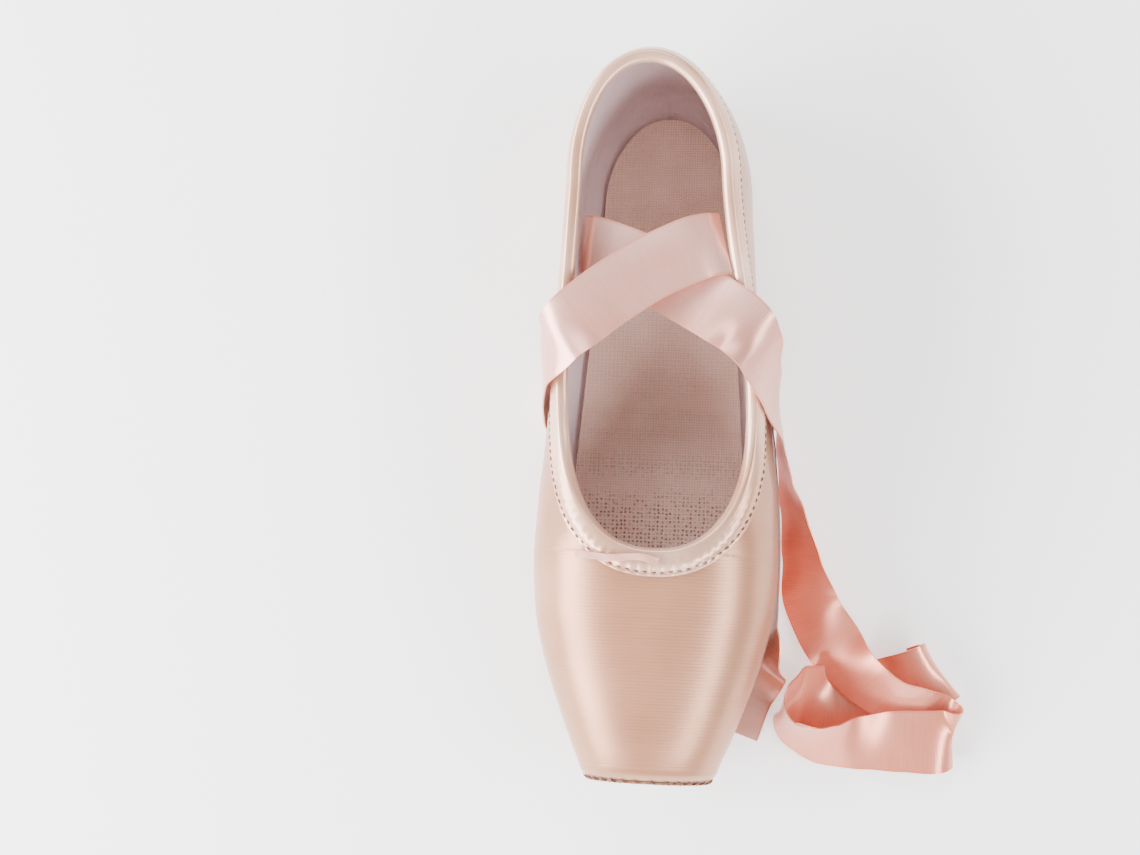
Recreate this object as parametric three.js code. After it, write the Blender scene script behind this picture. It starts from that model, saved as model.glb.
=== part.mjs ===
// Pointe shoe on a straight last, in millimetres: toe towards -Y, heel towards +Y, sole on z = 0.
// A station is a distance back from the platform, the flat tip that the dancer stands on.
// Every piece is worked out from the last's sections, so they all follow the same foot.
import * as THREE from "three";
import { mergeVertices } from "three/addons/utils/BufferGeometryUtils.js";

// Driving dimensions
const LENGTH = 246;
const HEEL_START = 200; // behind this station the sections turn round the heel
const THROAT = 74; // station of the front of the opening
const LOW_CURVE = 3.6; // superellipse power of a section under its widest line
const TOP_CURVE = 2.3; // and above it
const LEAN_START = 90; // the soft quarters lean to one side behind this station
const LEAN_END = 200;
const LEAN = -6; // sideways, at LEAN_HEIGHT above the floor
const LEAN_HEIGHT = 60;
const GAP = 0.3; // between pieces that touch
const SOLE_THICK = 2.5;
const BOX_WALL = 2.8; // pasted toe box
const QUARTER_WALL = 1.6; // satin on its lining
const BOX_END = 100; // station where the box's wings have thinned to the quarter
const BOX_FLOOR = 5; // station of the inside face of the platform

// Sections of the last: half width, underside, height of the widest line and crown.
// Behind the throat the crown is the height that the arch would have if it were closed.
const LAST = [
  { back: 0, half: 21.0, under: 8.6, wide: 21.0, crown: 34.0 },
  { back: 1.5, half: 22.6, under: 6.8, wide: 21.1, crown: 36.4 },
  { back: 5, half: 24.0, under: 5.6, wide: 21.2, crown: 38.8 },
  { back: 12, half: 27.0, under: 4.6, wide: 21.5, crown: 42.0 },
  { back: 24, half: 31.6, under: 3.4, wide: 22.0, crown: 46.0 },
  { back: 40, half: 37.0, under: 2.8, wide: 22.5, crown: 50.0 },
  { back: 56, half: 40.4, under: 2.8, wide: 23.0, crown: 53.5 },
  { back: 74, half: 41.6, under: 2.8, wide: 23.0, crown: 56.5 },
  { back: 92, half: 40.8, under: 3.0, wide: 23.0, crown: 59.7 },
  { back: 112, half: 38.8, under: 4.8, wide: 23.5, crown: 63.3 },
  { back: 136, half: 36.2, under: 9.2, wide: 24.5, crown: 67.3 },
  { back: 160, half: 33.9, under: 9.2, wide: 24.0, crown: 69.8 },
  { back: 182, half: 32.2, under: 4.4, wide: 22.0, crown: 72.9 },
  { back: 200, half: 31.0, under: 2.8, wide: 21.0, crown: 76.7 },
  { back: 234, half: 30.6, under: 2.8, wide: 21.0, crown: 88.0 },
  { back: 246, half: 30.6, under: 2.8, wide: 21.0, crown: 88.0 },
];

// Height of the collar's edge along the opening
const COLLAR = [
  { back: 74, height: 56.5 },
  { back: 92, height: 53.0 },
  { back: 112, height: 49.6 },
  { back: 136, height: 47.6 },
  { back: 160, height: 48.6 },
  { back: 182, height: 52.0 },
  { back: 200, height: 55.0 },
  { back: 236, height: 65.0 },
  { back: 246, height: 65.0 },
];

// Half widths of the outsole: narrow, waisted under the arch, round at the heel
const OUTSOLE = [
  { back: 16, half: 13.0 },
  { back: 40, half: 20.5 },
  { back: 66, half: 23.5 },
  { back: 92, half: 22.0 },
  { back: 118, half: 17.0 },
  { back: 144, half: 14.0 },
  { back: 170, half: 15.5 },
  { back: 196, half: 18.5 },
  { back: 214, half: 19.0 },
  { back: 240, half: 17.5 },
];

// Routes of the two satin ribbons from where each is sewn inside its quarter, over the other
// quarter and down to the floor. x, y and z are the middle; across points to the heel-side edge.
// The left one crosses below the right one, and coils beside the toe.
const LEFT_ROUTE = [
  { x: -29.2, y: 54.6, z: 38.0, across: [0.03, 1.0, 0.1] },
  { x: -26.6, y: 53.9, z: 43.6, across: [0.05, 1.0, 0.08] },
  { x: -18.1, y: 51.2, z: 45.4, across: [0.1, 1.0, 0.05] },
  { x: -4.7, y: 45.6, z: 46.8, across: [0.3, 0.95, 0.05] },
  { x: 9.8, y: 37.8, z: 46.8, across: [0.4, 0.92, 0.05] },
  { x: 19.5, y: 31.5, z: 50.6, across: [0.45, 0.89, 0.06] },
  { x: 27.0, y: 25.8, z: 52.9, across: [0.5, 0.85, -0.15] },
  { x: 32.8, y: 18.5, z: 50.6, across: [0.54, 0.72, -0.44] },
  { x: 37.2, y: 8.5, z: 41.5, across: [0.27, 0.69, -0.67] },
  { x: 41.0, y: -3.0, z: 29.0, across: [0.0, 0.49, -0.87] },
  { x: 43.9, y: -17.0, z: 18.5, across: [-0.13, 0.23, -0.96] },
  { x: 47.0, y: -30.0, z: 13.6, across: [-0.33, 0.1, -0.93] },
  { x: 50.2, y: -46.5, z: 11.0, across: [-0.5, -0.05, -0.86] },
  { x: 54.0, y: -62.0, z: 9.0, across: [-0.74, -0.22, -0.63] },
  { x: 61.5, y: -75.0, z: 8.6, across: [-0.78, -0.42, -0.46] },
  { x: 70.0, y: -86.0, z: 9.8, across: [-0.5, -0.55, -0.67] },
  { x: 80.0, y: -93.5, z: 9.6, across: [-0.15, -0.66, -0.73] },
  { x: 90.0, y: -98.5, z: 7.6, across: [-0.05, -0.83, -0.55] },
  { x: 98.5, y: -102.0, z: 4.6, across: [0.0, -0.94, -0.34] },
  { x: 103.8, y: -105.8, z: 6.5, across: [0.0, -0.96, -0.27] },
  { x: 98.0, y: -107.9, z: 8.8, across: [0.0, -0.98, -0.2] },
  { x: 86.0, y: -108.2, z: 8.4, across: [0.0, -0.95, -0.3] },
  { x: 74.0, y: -109.2, z: 8.0, across: [0.04, -0.86, -0.5] },
  { x: 62.5, y: -110.6, z: 8.8, across: [0.08, -0.68, -0.73] },
  { x: 52.5, y: -108.4, z: 10.6, across: [0.0, -0.5, -0.86] },
  { x: 45.4, y: -103.0, z: 12.2, across: [-0.1, -0.25, -0.96] },
  { x: 45.4, y: -96.4, z: 11.0, across: [0.0, -0.5, -0.86] },
  { x: 52.5, y: -94.0, z: 5.6, across: [0.0, -0.9, -0.43] },
  { x: 63.0, y: -95.0, z: 1.4, across: [0.0, -1.0, -0.04] },
  { x: 74.0, y: -93.6, z: 1.0, across: [0.1, -0.99, 0.0] },
  { x: 82.5, y: -90.8, z: 2.8, across: [0.32, -0.94, -0.06] },
  { x: 90.0, y: -87.8, z: 6.0, across: [0.5, -0.84, -0.16] },
  { x: 96.0, y: -85.3, z: 7.6, across: [0.62, -0.76, -0.18] },
  { x: 99.6, y: -83.7, z: 5.2, across: [0.68, -0.72, -0.12] },
  { x: 98.0, y: -84.5, z: 2.0, across: [0.7, -0.71, -0.04] },
  { x: 92.5, y: -86.8, z: 0.9, across: [0.7, -0.71, 0.0] },
];
const RIGHT_ROUTE = [
  { x: 20.0, y: 55.0, z: 48.4, across: [-0.2, 0.95, -0.17] },
  { x: 15.4, y: 54.2, z: 50.8, across: [-0.22, 0.95, -0.12] },
  { x: 9.5, y: 52.2, z: 51.6, across: [-0.3, 0.95, 0.05] },
  { x: -3.7, y: 45.8, z: 51.8, across: [-0.4, 0.9, 0.0] },
  { x: -16.0, y: 37.3, z: 52.8, across: [-0.5, 0.86, 0.0] },
  { x: -26.0, y: 29.2, z: 53.4, across: [-0.5, 0.84, -0.05] },
  { x: -34.4, y: 21.2, z: 52.6, across: [-0.52, 0.79, -0.3] },
  { x: -39.6, y: 14.5, z: 43.0, across: [-0.18, 0.8, -0.57] },
  { x: -40.0, y: 8.5, z: 31.0, across: [-0.04, 0.9, -0.45] },
  { x: -39.6, y: 5.0, z: 19.0, across: [0.0, 1.0, -0.1] },
  { x: -36.4, y: 5.0, z: 7.5, across: [-0.05, 0.97, 0.08] },
  { x: -27.0, y: 8.0, z: 1.3, across: [-0.25, 0.95, 0.0] },
  { x: -12.0, y: 11.5, z: 0.8, across: [-0.1, 1.0, 0.0] },
  { x: 6.0, y: 13.0, z: 0.8, across: [0.0, 1.0, 0.0] },
  { x: 20.0, y: 11.5, z: 0.8, across: [0.25, 0.95, 0.05] },
  { x: 29.5, y: 8.0, z: 3.4, across: [0.5, 0.7, 0.45] },
  { x: 36.8, y: 2.0, z: 9.2, across: [0.25, 0.12, 0.96] },
  { x: 39.5, y: -7.0, z: 11.3, across: [0.0, 0.0, 1.0] },
  { x: 40.5, y: -18.0, z: 11.3, across: [0.0, 0.0, 1.0] },
  { x: 41.5, y: -31.0, z: 11.3, across: [0.0, 0.0, 1.0] },
  { x: 42.2, y: -46.0, z: 11.3, across: [0.0, 0.0, 1.0] },
  { x: 42.1, y: -60.0, z: 11.3, across: [0.0, 0.0, 1.0] },
  { x: 41.0, y: -70.0, z: 11.1, across: [0.08, 0.0, 1.0] },
  { x: 39.4, y: -78.0, z: 10.4, across: [0.4, 0.0, 0.91] },
  { x: 36.4, y: -86.0, z: 4.6, across: [0.9, 0.0, 0.42] },
  { x: 31.4, y: -95.0, z: 0.9, across: [1.0, 0.0, 0.0] },
  { x: 27.0, y: -107.5, z: 0.7, across: [0.95, 0.3, 0.0] },
];
// Middle line of the drawstring's free end, over the casing at the throat
const DRAWSTRING = [
  { x: 1.5, y: -51.8, z: 58.9 },
  { x: -4.4, y: -50.4, z: 59.0 },
  { x: -12.0, y: -50.9, z: 58.5 },
  { x: -16.6, y: -50.8, z: 57.6 },
  { x: -20.8, y: -50.4, z: 56.1 },
  { x: -25.4, y: -49.8, z: 53.4 },
];
const STRING_WIDE = 2.2;
const STRING_THICK = 0.7;
const STRING_STEPS = 16;

const RIBBON_WIDE = 22;
const RIBBON_THICK = 0.6;
const LEFT_TAIL_FROM = 9; // row where each tail leaves its quarter
const RIGHT_TAIL_FROM = 8;
const RIBBON_STEPS = 3; // sections for each row
const FLOOR_GAP = 0.3; // least height of a ribbon above the floor
const SPLIT_GAP = 0.02; // of a row, between a ribbon and its tail

const SATIN = 0xe9cdbd;
const LEATHER = 0x6b3427;
const INSOLE = 0xc09c8d;
const SUEDE = 0xa8845a;
const RIBBON = 0xf0d0cb;

// Smooth monotone curve through a column of a table
function along(table, column, back) {
  const last = table.length - 1;
  const at = Math.min(Math.max(back, table[0].back), table[last].back);
  let i = 0;
  while (i < last - 1 && at > table[i + 1].back) i += 1;
  const step = (j) => table[j + 1].back - table[j].back;
  const rise = (j) => (table[j + 1][column] - table[j][column]) / step(j);
  const slope = (j) => {
    if (j === 0) return rise(0);
    if (j === last) return rise(last - 1);
    if (rise(j - 1) * rise(j) <= 0) return 0;
    const before = 2 * step(j) + step(j - 1);
    const after = step(j) + 2 * step(j - 1);
    return (before + after) / (before / rise(j - 1) + after / rise(j));
  };
  const h = step(i);
  const t = (at - table[i].back) / h;
  return (
    (1 + 2 * t) * (1 - t) ** 2 * table[i][column] +
    t * (1 - t) ** 2 * h * slope(i) +
    t * t * (3 - 2 * t) * table[i + 1][column] +
    t * t * (t - 1) * h * slope(i + 1)
  );
}

const smooth = (t) => {
  const u = Math.min(Math.max(t, 0), 1);
  return u * u * (3 - 2 * u);
};

const wallAt = (back) => THREE.MathUtils.lerp(BOX_WALL, QUARTER_WALL, smooth(back / BOX_END));
const quarter = (share, power) => Math.max(1 - share ** power, 0) ** (1 / power);
const lean = (back, z) =>
  LEAN * smooth((back - LEAN_START) / (LEAN_END - LEAN_START)) * (z / LEAN_HEIGHT) ** 1.5;

// The last's section at a station, drawn in by inset (drawn out where it is negative)
function section(back, inset) {
  const half = along(LAST, "half", back);
  const wide = along(LAST, "wide", back);
  const crown = along(LAST, "crown", back);
  const under = along(LAST, "under", back);
  let top = crown - inset;
  if (back > THROAT) {
    const height = along(COLLAR, "height", back);
    const rim = quarter(Math.min((height - wide) / (crown - wide), 1), TOP_CURVE);
    top = height - inset * Math.sqrt(1 - rim * rim);
  }
  return { half: half - inset, under: under + inset, wide, crown: crown - inset, top };
}

// Turns a section's half width and height into a point: straight across, or round the heel
const STRETCH = (LENGTH - HEEL_START) / LAST.at(-1).half;
function place(back, r, z, side, inset) {
  const turn = (Math.max(back - HEEL_START, 0) / (LENGTH - HEEL_START)) * (Math.PI / 2);
  const x = side * r * Math.cos(turn) + lean(back, z);
  const reach = r * STRETCH + inset * (STRETCH - 1);
  const y = Math.min(back, HEEL_START) + reach * Math.sin(turn) - LENGTH / 2;
  return new THREE.Vector3(x, y, z);
}

// A point of the last: k is -1 at the bottom centre, 0 at the widest line and 1 at the
// collar's edge or, in front of the throat, at the crown. open is the half width cut away below.
function lastPoint(back, k, side, inset = 0, open = 0) {
  const s = section(back, inset);
  if (k > 0) {
    const full = Math.min((s.top - s.wide) / (s.crown - s.wide), 1);
    const angle = k * Math.asin(full ** (TOP_CURVE / 2));
    const r = s.half * Math.cos(angle) ** (2 / TOP_CURVE);
    const z = s.wide + (s.crown - s.wide) * Math.sin(angle) ** (2 / TOP_CURVE);
    return place(back, r < 1e-4 ? 0 : r, z, side, inset);
  }
  const angle = -k * Math.acos(Math.min(open / s.half, 1) ** (LOW_CURVE / 2));
  const r = s.half * Math.max(Math.cos(angle), 0) ** (2 / LOW_CURVE);
  const z = s.wide - (s.wide - s.under) * Math.sin(angle) ** (2 / LOW_CURVE);
  return place(back, r < 1e-4 ? 0 : r, z, side, inset);
}

// Height of the last's underside above a point of the floor, drawn in by inset
function underside(x, y, inset) {
  const past = Math.max(y + LENGTH / 2 - HEEL_START, 0) / STRETCH;
  const turn = Math.atan2(past, Math.abs(x)) / (Math.PI / 2);
  const back = past > 0 ? HEEL_START + turn * (LENGTH - HEEL_START) : y + LENGTH / 2;
  const s = section(back, inset);
  const share = Math.min(Math.hypot(x, past) / s.half, 1);
  return s.wide - (s.wide - s.under) * quarter(share, LOW_CURVE);
}

// Collects triangles, and merges their corners into one closed body
class Body {
  constructor() {
    this.corners = [];
  }
  triangle(a, b, c) {
    this.corners.push(...a.toArray(), ...b.toArray(), ...c.toArray());
  }
  // A quad with its corners anticlockwise as seen from outside; side -1 turns it over
  quad(a, b, c, d, side = 1) {
    const [p, q, r, s] = side > 0 ? [a, b, c, d] : [d, c, b, a];
    this.triangle(p, q, r);
    this.triangle(p, r, s);
  }
  mesh(name, color, roughness) {
    const soup = new THREE.BufferGeometry();
    soup.setAttribute("position", new THREE.Float32BufferAttribute(this.corners, 3));
    const merged = mergeVertices(soup, 1e-3);
    const index = Array.from(merged.index.array);
    const kept = [];
    for (let i = 0; i < index.length; i += 3) {
      const [a, b, c] = index.slice(i, i + 3);
      if (a !== b && b !== c && c !== a) kept.push(a, b, c);
    }
    merged.setIndex(kept);
    merged.computeVertexNormals();
    const material = new THREE.MeshStandardMaterial({ color, roughness, metalness: 0 });
    const mesh = new THREE.Mesh(merged, material);
    mesh.name = name;
    return mesh;
  }
}

// Stations from one value to another, closer together near the first where power is over 1
function steps(from, to, count, power = 1) {
  return Array.from({ length: count }, (_, i) => from + (to - from) * ((i + 1) / count) ** power);
}

// Half width of the opening under the upper, which the outsole closes
const OPEN_START = 26;
const OPEN_SHARE = 0.62; // of the outsole's half width
function openHalf(back) {
  if (back <= OPEN_START) return 0;
  const rounding = quarter(Math.max(1 - (back - OPEN_START) / 16, 0), 2);
  return OPEN_SHARE * along(OUTSOLE, "half", back) * rounding;
}

const RIM_STATIONS = [
  ...steps(THROAT, 92, 6, 2.2),
  ...steps(92, HEEL_START, 12),
  ...steps(HEEL_START, LENGTH, 8),
];
const UPPER_STATIONS = [
  ...LAST.slice(0, 5).map((row) => row.back),
  OPEN_START,
  ...steps(OPEN_START, 44, 5, 1.6),
  ...steps(44, THROAT, 4),
  ...RIM_STATIONS,
];

// Satin upper with its toe box: one hollow wall, open at the throat and underneath
function makeUpper() {
  const body = new Body();
  const rows = 13;
  const ladder = Array.from({ length: rows + 1 }, (_, j) => (2 * j) / rows - 1);
  const skin = (back, side, inset) =>
    ladder.map((k) => lastPoint(back, k, side, inset, openHalf(back)));
  const inside = UPPER_STATIONS.filter((back) => back >= BOX_FLOOR);
  for (const side of [-1, 1]) {
    const outer = UPPER_STATIONS.map((back) => skin(back, side, 0));
    const inner = inside.map((back) => skin(back, side, wallAt(back)));
    for (let j = 0; j < rows; j += 1) {
      for (let i = 0; i + 1 < outer.length; i += 1)
        body.quad(outer[i][j], outer[i + 1][j], outer[i + 1][j + 1], outer[i][j + 1], side);
      for (let i = 0; i + 1 < inner.length; i += 1)
        body.quad(inner[i][j], inner[i][j + 1], inner[i + 1][j + 1], inner[i + 1][j], side);
    }
    const shift = outer.length - inner.length;
    for (let i = 0; i + 1 < inner.length; i += 1) {
      const [a, b, c, d] = [outer[i + shift], outer[i + shift + 1], inner[i + 1], inner[i]];
      if (inside[i] >= THROAT) body.quad(a[rows], b[rows], c[rows], d[rows], side);
      if (inside[i] >= OPEN_START) body.quad(b[0], a[0], d[0], c[0], side);
    }
    // Each half of the platform, outside and inside, runs from its edge to the middle line
    const middle = (p) => new THREE.Vector3(0, p.y, p.z);
    for (let j = 0; j < rows; j += 1) {
      const [a, b] = [outer[0][j], outer[0][j + 1]];
      body.quad(middle(a), a, b, middle(b), side);
      const [c, d] = [inner[0][j], inner[0][j + 1]];
      body.quad(middle(c), middle(d), d, c, side);
    }
  }
  return body.mesh("upper", SATIN, 0.4);
}

// A thin plate over a plan outline, between two surfaces given as heights over (x, y)
function plate(name, color, roughness, outline, stations, columns, topAt, bottomAt) {
  const body = new Body();
  const grid = stations.map((back) => {
    const half = outline(back);
    return Array.from({ length: columns + 1 }, (_, j) => {
      const across = (2 * j) / columns - 1;
      const x = half * Math.sin((across * Math.PI) / 2);
      const y = back - LENGTH / 2;
      return {
        top: new THREE.Vector3(x, y, topAt(x, y, across)),
        bottom: new THREE.Vector3(x, y, bottomAt(x, y, across)),
      };
    });
  });
  const end = grid.length - 1;
  for (let i = 0; i < end; i += 1) {
    for (let j = 0; j < columns; j += 1) {
      const [a, b, c, d] = [grid[i][j], grid[i][j + 1], grid[i + 1][j + 1], grid[i + 1][j]];
      body.quad(a.top, b.top, c.top, d.top);
      body.quad(a.bottom, d.bottom, c.bottom, b.bottom);
    }
    for (const [j, side] of [[0, 1], [columns, -1]]) {
      const [a, b] = [grid[i][j], grid[i + 1][j]];
      body.quad(a.top, b.top, b.bottom, a.bottom, side);
    }
  }
  for (const [i, side] of [[0, 1], [end, -1]])
    for (let j = 0; j < columns; j += 1) {
      const [a, b] = [grid[i][j], grid[i][j + 1]];
      body.quad(a.bottom, b.bottom, b.top, a.top, side);
    }
  return body.mesh(name, color, roughness);
}

// Rounds a plan outline off at its two ends, over the given lengths
const rounded = (halfAt, from, to, toe, heel) => (back) => {
  const front = quarter(Math.max(1 - (back - from) / toe, 0), 2);
  const rear = quarter(Math.max(1 - (to - back) / heel, 0), 2);
  return Math.max(halfAt(back) * front * rear, 0.4);
};

// Leather outsole: flat under the ball and the heel, arched between them, its edge skived
const OUTSOLE_START = 15;
const OUTSOLE_END = 232;
const SKIVE = 0.8;
const SOLE_MOST = 3; // thickest that its edge gets where the last curves up
function makeOutsole() {
  const outline = rounded((back) => along(OUTSOLE, "half", back), OUTSOLE_START, OUTSOLE_END, 14, 30);
  const stations = [OUTSOLE_START, ...steps(OUTSOLE_START, 30, 5, 1.6), ...steps(30, 210, 20),
    ...steps(OUTSOLE_END, 210, 7, 1.6).reverse().slice(1), OUTSOLE_END];
  const topAt = (x, y) => underside(x, y, 0) - GAP;
  const bottomAt = (x, y, across) => {
    const flat = along(LAST, "under", y + LENGTH / 2) - GAP - SOLE_THICK;
    return Math.max(flat + (Math.abs(across) > 0.99 ? SKIVE : 0), topAt(x, y) - SOLE_MOST);
  };
  return plate("outsole", LEATHER, 0.6, outline, stations, 8, topAt, bottomAt);
}

// Insole: bedded on the upper's floor, flat on top
const INSOLE_START = 18;
const INSOLE_SHARE = 0.78; // of the inside's half width
const INSOLE_HEEL = INSOLE_SHARE * (LENGTH - HEEL_START - QUARTER_WALL * STRETCH);
const INSOLE_END = HEEL_START + INSOLE_HEEL;
const INSOLE_EDGE = 1.3; // thickness at its edge
const INSOLE_BED = 0.8; // the upper's floor curves more than flat facets do
function makeInsole() {
  const inside = (back) => along(LAST, "half", Math.min(back, HEEL_START)) - wallAt(back);
  const outline = rounded((back) => INSOLE_SHARE * inside(back), INSOLE_START, INSOLE_END, 16, INSOLE_HEEL);
  const stations = [INSOLE_START, ...steps(INSOLE_START, 34, 4, 1.6), ...steps(34, 200, 16),
    ...steps(INSOLE_END, 200, 8, 1.6).reverse().slice(1), INSOLE_END];
  const floorAt = (x, y) => underside(x, y, wallAt(y + LENGTH / 2)) + INSOLE_BED;
  const topAt = (x, y) => floorAt(outline(y + LENGTH / 2), y) + INSOLE_EDGE;
  return plate("insole", INSOLE, 0.8, outline, stations, 8, topAt, floorAt);
}

// Suede patch glued on the platform
const PATCH_THICK = 0.9;
const PATCH_SHARE = 0.96; // of the platform's outline
function makeToePatch() {
  const section0 = section(0, 0);
  const outline = new THREE.Shape();
  const points = 40;
  for (let i = 0; i < points; i += 1) {
    const angle = (2 * Math.PI * i) / points;
    const up = Math.sin(angle) > 0;
    const power = 2 / (up ? TOP_CURVE : LOW_CURVE);
    const rise = up ? section0.crown - section0.wide : section0.wide - section0.under;
    const x = section0.half * Math.sign(Math.cos(angle)) * Math.abs(Math.cos(angle)) ** power;
    const z = rise * Math.sign(Math.sin(angle)) * Math.abs(Math.sin(angle)) ** power;
    if (i === 0) outline.moveTo(x * PATCH_SHARE, z * PATCH_SHARE);
    else outline.lineTo(x * PATCH_SHARE, z * PATCH_SHARE);
  }
  const geometry = new THREE.ExtrudeGeometry(outline, { depth: PATCH_THICK, bevelEnabled: false });
  const material = new THREE.MeshStandardMaterial({ color: SUEDE, roughness: 0.95, metalness: 0 });
  const mesh = new THREE.Mesh(geometry, material);
  mesh.name = "toe_patch";
  mesh.rotation.x = Math.PI / 2;
  mesh.position.set(0, -LENGTH / 2 - GAP, section0.wide);
  return mesh;
}

// How far a point above the widest line lies outside the closed last, in shares of its size
function outside(p) {
  const straight = p.y + LENGTH / 2;
  const x = p.x - lean(straight, p.z);
  const past = Math.max(straight - HEEL_START, 0) / STRETCH;
  const turn = Math.atan2(past, Math.abs(x)) / (Math.PI / 2);
  const back = past > 0 ? HEEL_START + turn * (LENGTH - HEEL_START) : straight;
  const s = section(back, 0);
  const across = Math.hypot(x, past) / s.half;
  return across ** TOP_CURVE + ((p.z - s.wide) / (s.crown - s.wide)) ** TOP_CURVE - 1;
}

// Slope of that measure: its direction is the last's outward normal
function slopeAt(p) {
  const h = 0.05;
  const slope = new THREE.Vector3();
  for (const axis of ["x", "y", "z"]) {
    const [ahead, behind] = [p.clone(), p.clone()];
    ahead[axis] += h;
    behind[axis] -= h;
    slope[axis] = (outside(ahead) - outside(behind)) / (2 * h);
  }
  return slope;
}

// The collar's edge as one closed loop, throat to heel on -X and back on +X
function collarLoop() {
  const stations = [THROAT, ...RIM_STATIONS];
  const left = stations.map((back) => ({ back, p: lastPoint(back, 1, -1) }));
  const right = stations.map((back) => ({ back, p: lastPoint(back, 1, 1) }));
  const loop = [...left, ...right.slice(1, -1).reverse()];
  return loop.map(({ back, p }, i) => {
    const ahead = loop[(i + 1) % loop.length].p;
    const behind = loop.at(i - 1).p;
    const tangent = ahead.clone().sub(behind).normalize();
    const normal = slopeAt(p).normalize();
    const over = tangent.clone().cross(normal).normalize();
    return { back, p, normal, over };
  });
}

// A point near the collar: down is measured along the wall from its edge, out from its outside
function nearCollar(at, down, out) {
  const p = at.p.clone().addScaledVector(at.over, -down);
  if (down <= 0) return p.addScaledVector(at.normal, out);
  for (let i = 0; i < 4; i += 1) {
    const slope = slopeAt(p);
    p.addScaledVector(slope, -outside(p) / slope.lengthSq());
  }
  return p.addScaledVector(slopeAt(p).normalize(), out);
}

// Satin casing folded over the collar's edge, a little puffed by the drawstring in it
const CASING_DOWN = 7.5; // reach below the edge outside
const CASING_DOWN_INSIDE = 6.5;
const CASING_THICK = 0.9;
const CASING_PUFF = 0.5;
const CASING_TOP = 1.6; // rise over the edge
const CASING_BED = 0.5; // gap to the lining side of the wall
function makeCasing() {
  const body = new Body();
  const rings = collarLoop().map((at) => {
    const lining = -wallAt(at.back) - CASING_BED;
    const middle = (GAP + lining) / 2;
    const skin = GAP + CASING_THICK;
    const back = lining - CASING_THICK;
    const fold = [
      { down: CASING_DOWN, out: GAP },
      { down: CASING_DOWN, out: skin - 0.4 },
      { down: CASING_DOWN / 2, out: skin + CASING_PUFF },
      { down: 0.6, out: skin + CASING_PUFF / 2 },
      { down: -CASING_TOP * 0.75, out: skin - 0.5 },
      { down: -CASING_TOP, out: middle },
      { down: -CASING_TOP * 0.75, out: back + 0.5 },
      { down: 0.6, out: back - CASING_PUFF / 2 },
      { down: CASING_DOWN_INSIDE / 2, out: back - CASING_PUFF / 2 },
      { down: CASING_DOWN_INSIDE, out: back + 0.4 },
      { down: CASING_DOWN_INSIDE, out: lining },
      { down: CASING_DOWN_INSIDE / 2, out: lining },
      { down: -GAP, out: lining },
      { down: -GAP, out: GAP },
      { down: CASING_DOWN / 2, out: GAP },
    ];
    return fold.map(({ down, out }) => nearCollar(at, down, out));
  });
  rings.forEach((ring, i) => {
    const next = rings[(i + 1) % rings.length];
    ring.forEach((corner, j) => {
      const k = (j + 1) % ring.length;
      body.quad(corner, ring[k], next[k], next[j]);
    });
  });
  return body.mesh("collar_casing", SATIN, 0.4);
}

// A flat ribbon along rows of a route, its section kept square to its run
function makeRibbon(name, route, from, to) {
  const body = new Body();
  const middles = new THREE.CatmullRomCurve3(
    route.map((row) => new THREE.Vector3(row.x, row.y, row.z)), false, "centripetal");
  const acrosses = new THREE.CatmullRomCurve3(
    route.map((row) => new THREE.Vector3(...row.across)), false, "centripetal");
  const last = route.length - 1;
  const count = RIBBON_STEPS * (to - from);
  const ends = [from === 0 ? 0 : SPLIT_GAP, to === last ? 0 : SPLIT_GAP];
  const rings = Array.from({ length: count + 1 }, (_, i) => {
    const row = THREE.MathUtils.lerp(from + ends[0], to - ends[1], i / count);
    const middle = middles.getPoint(row / last);
    const run = middles.getTangent(row / last);
    const across = acrosses.getPoint(row / last);
    across.addScaledVector(run, -across.dot(run)).normalize();
    const up = across.clone().cross(run).normalize();
    const ring = [[-1, -1], [1, -1], [1, 1], [-1, 1]].map(([w, t]) =>
      middle.clone()
        .addScaledVector(across, (w * RIBBON_WIDE) / 2)
        .addScaledVector(up, (t * RIBBON_THICK) / 2));
    const lift = Math.max(0, FLOOR_GAP - Math.min(...ring.map((p) => p.z)));
    ring.forEach((p) => p.setZ(p.z + lift));
    return ring;
  });
  for (let i = 0; i < count; i += 1)
    for (let j = 0; j < 4; j += 1) {
      const k = (j + 1) % 4;
      const corners = [rings[i][j], rings[i + 1][j], rings[i + 1][k], rings[i][k]];
      if (j > 1) corners.push(corners.shift()); // both faces of a twisted run split the same way
      body.quad(...corners);
    }
  const [first, end] = [rings[0], rings[count]];
  body.quad(first[0], first[1], first[2], first[3]);
  body.quad(end[3], end[2], end[1], end[0]);
  return body.mesh(name, RIBBON, 0.35);
}

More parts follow.
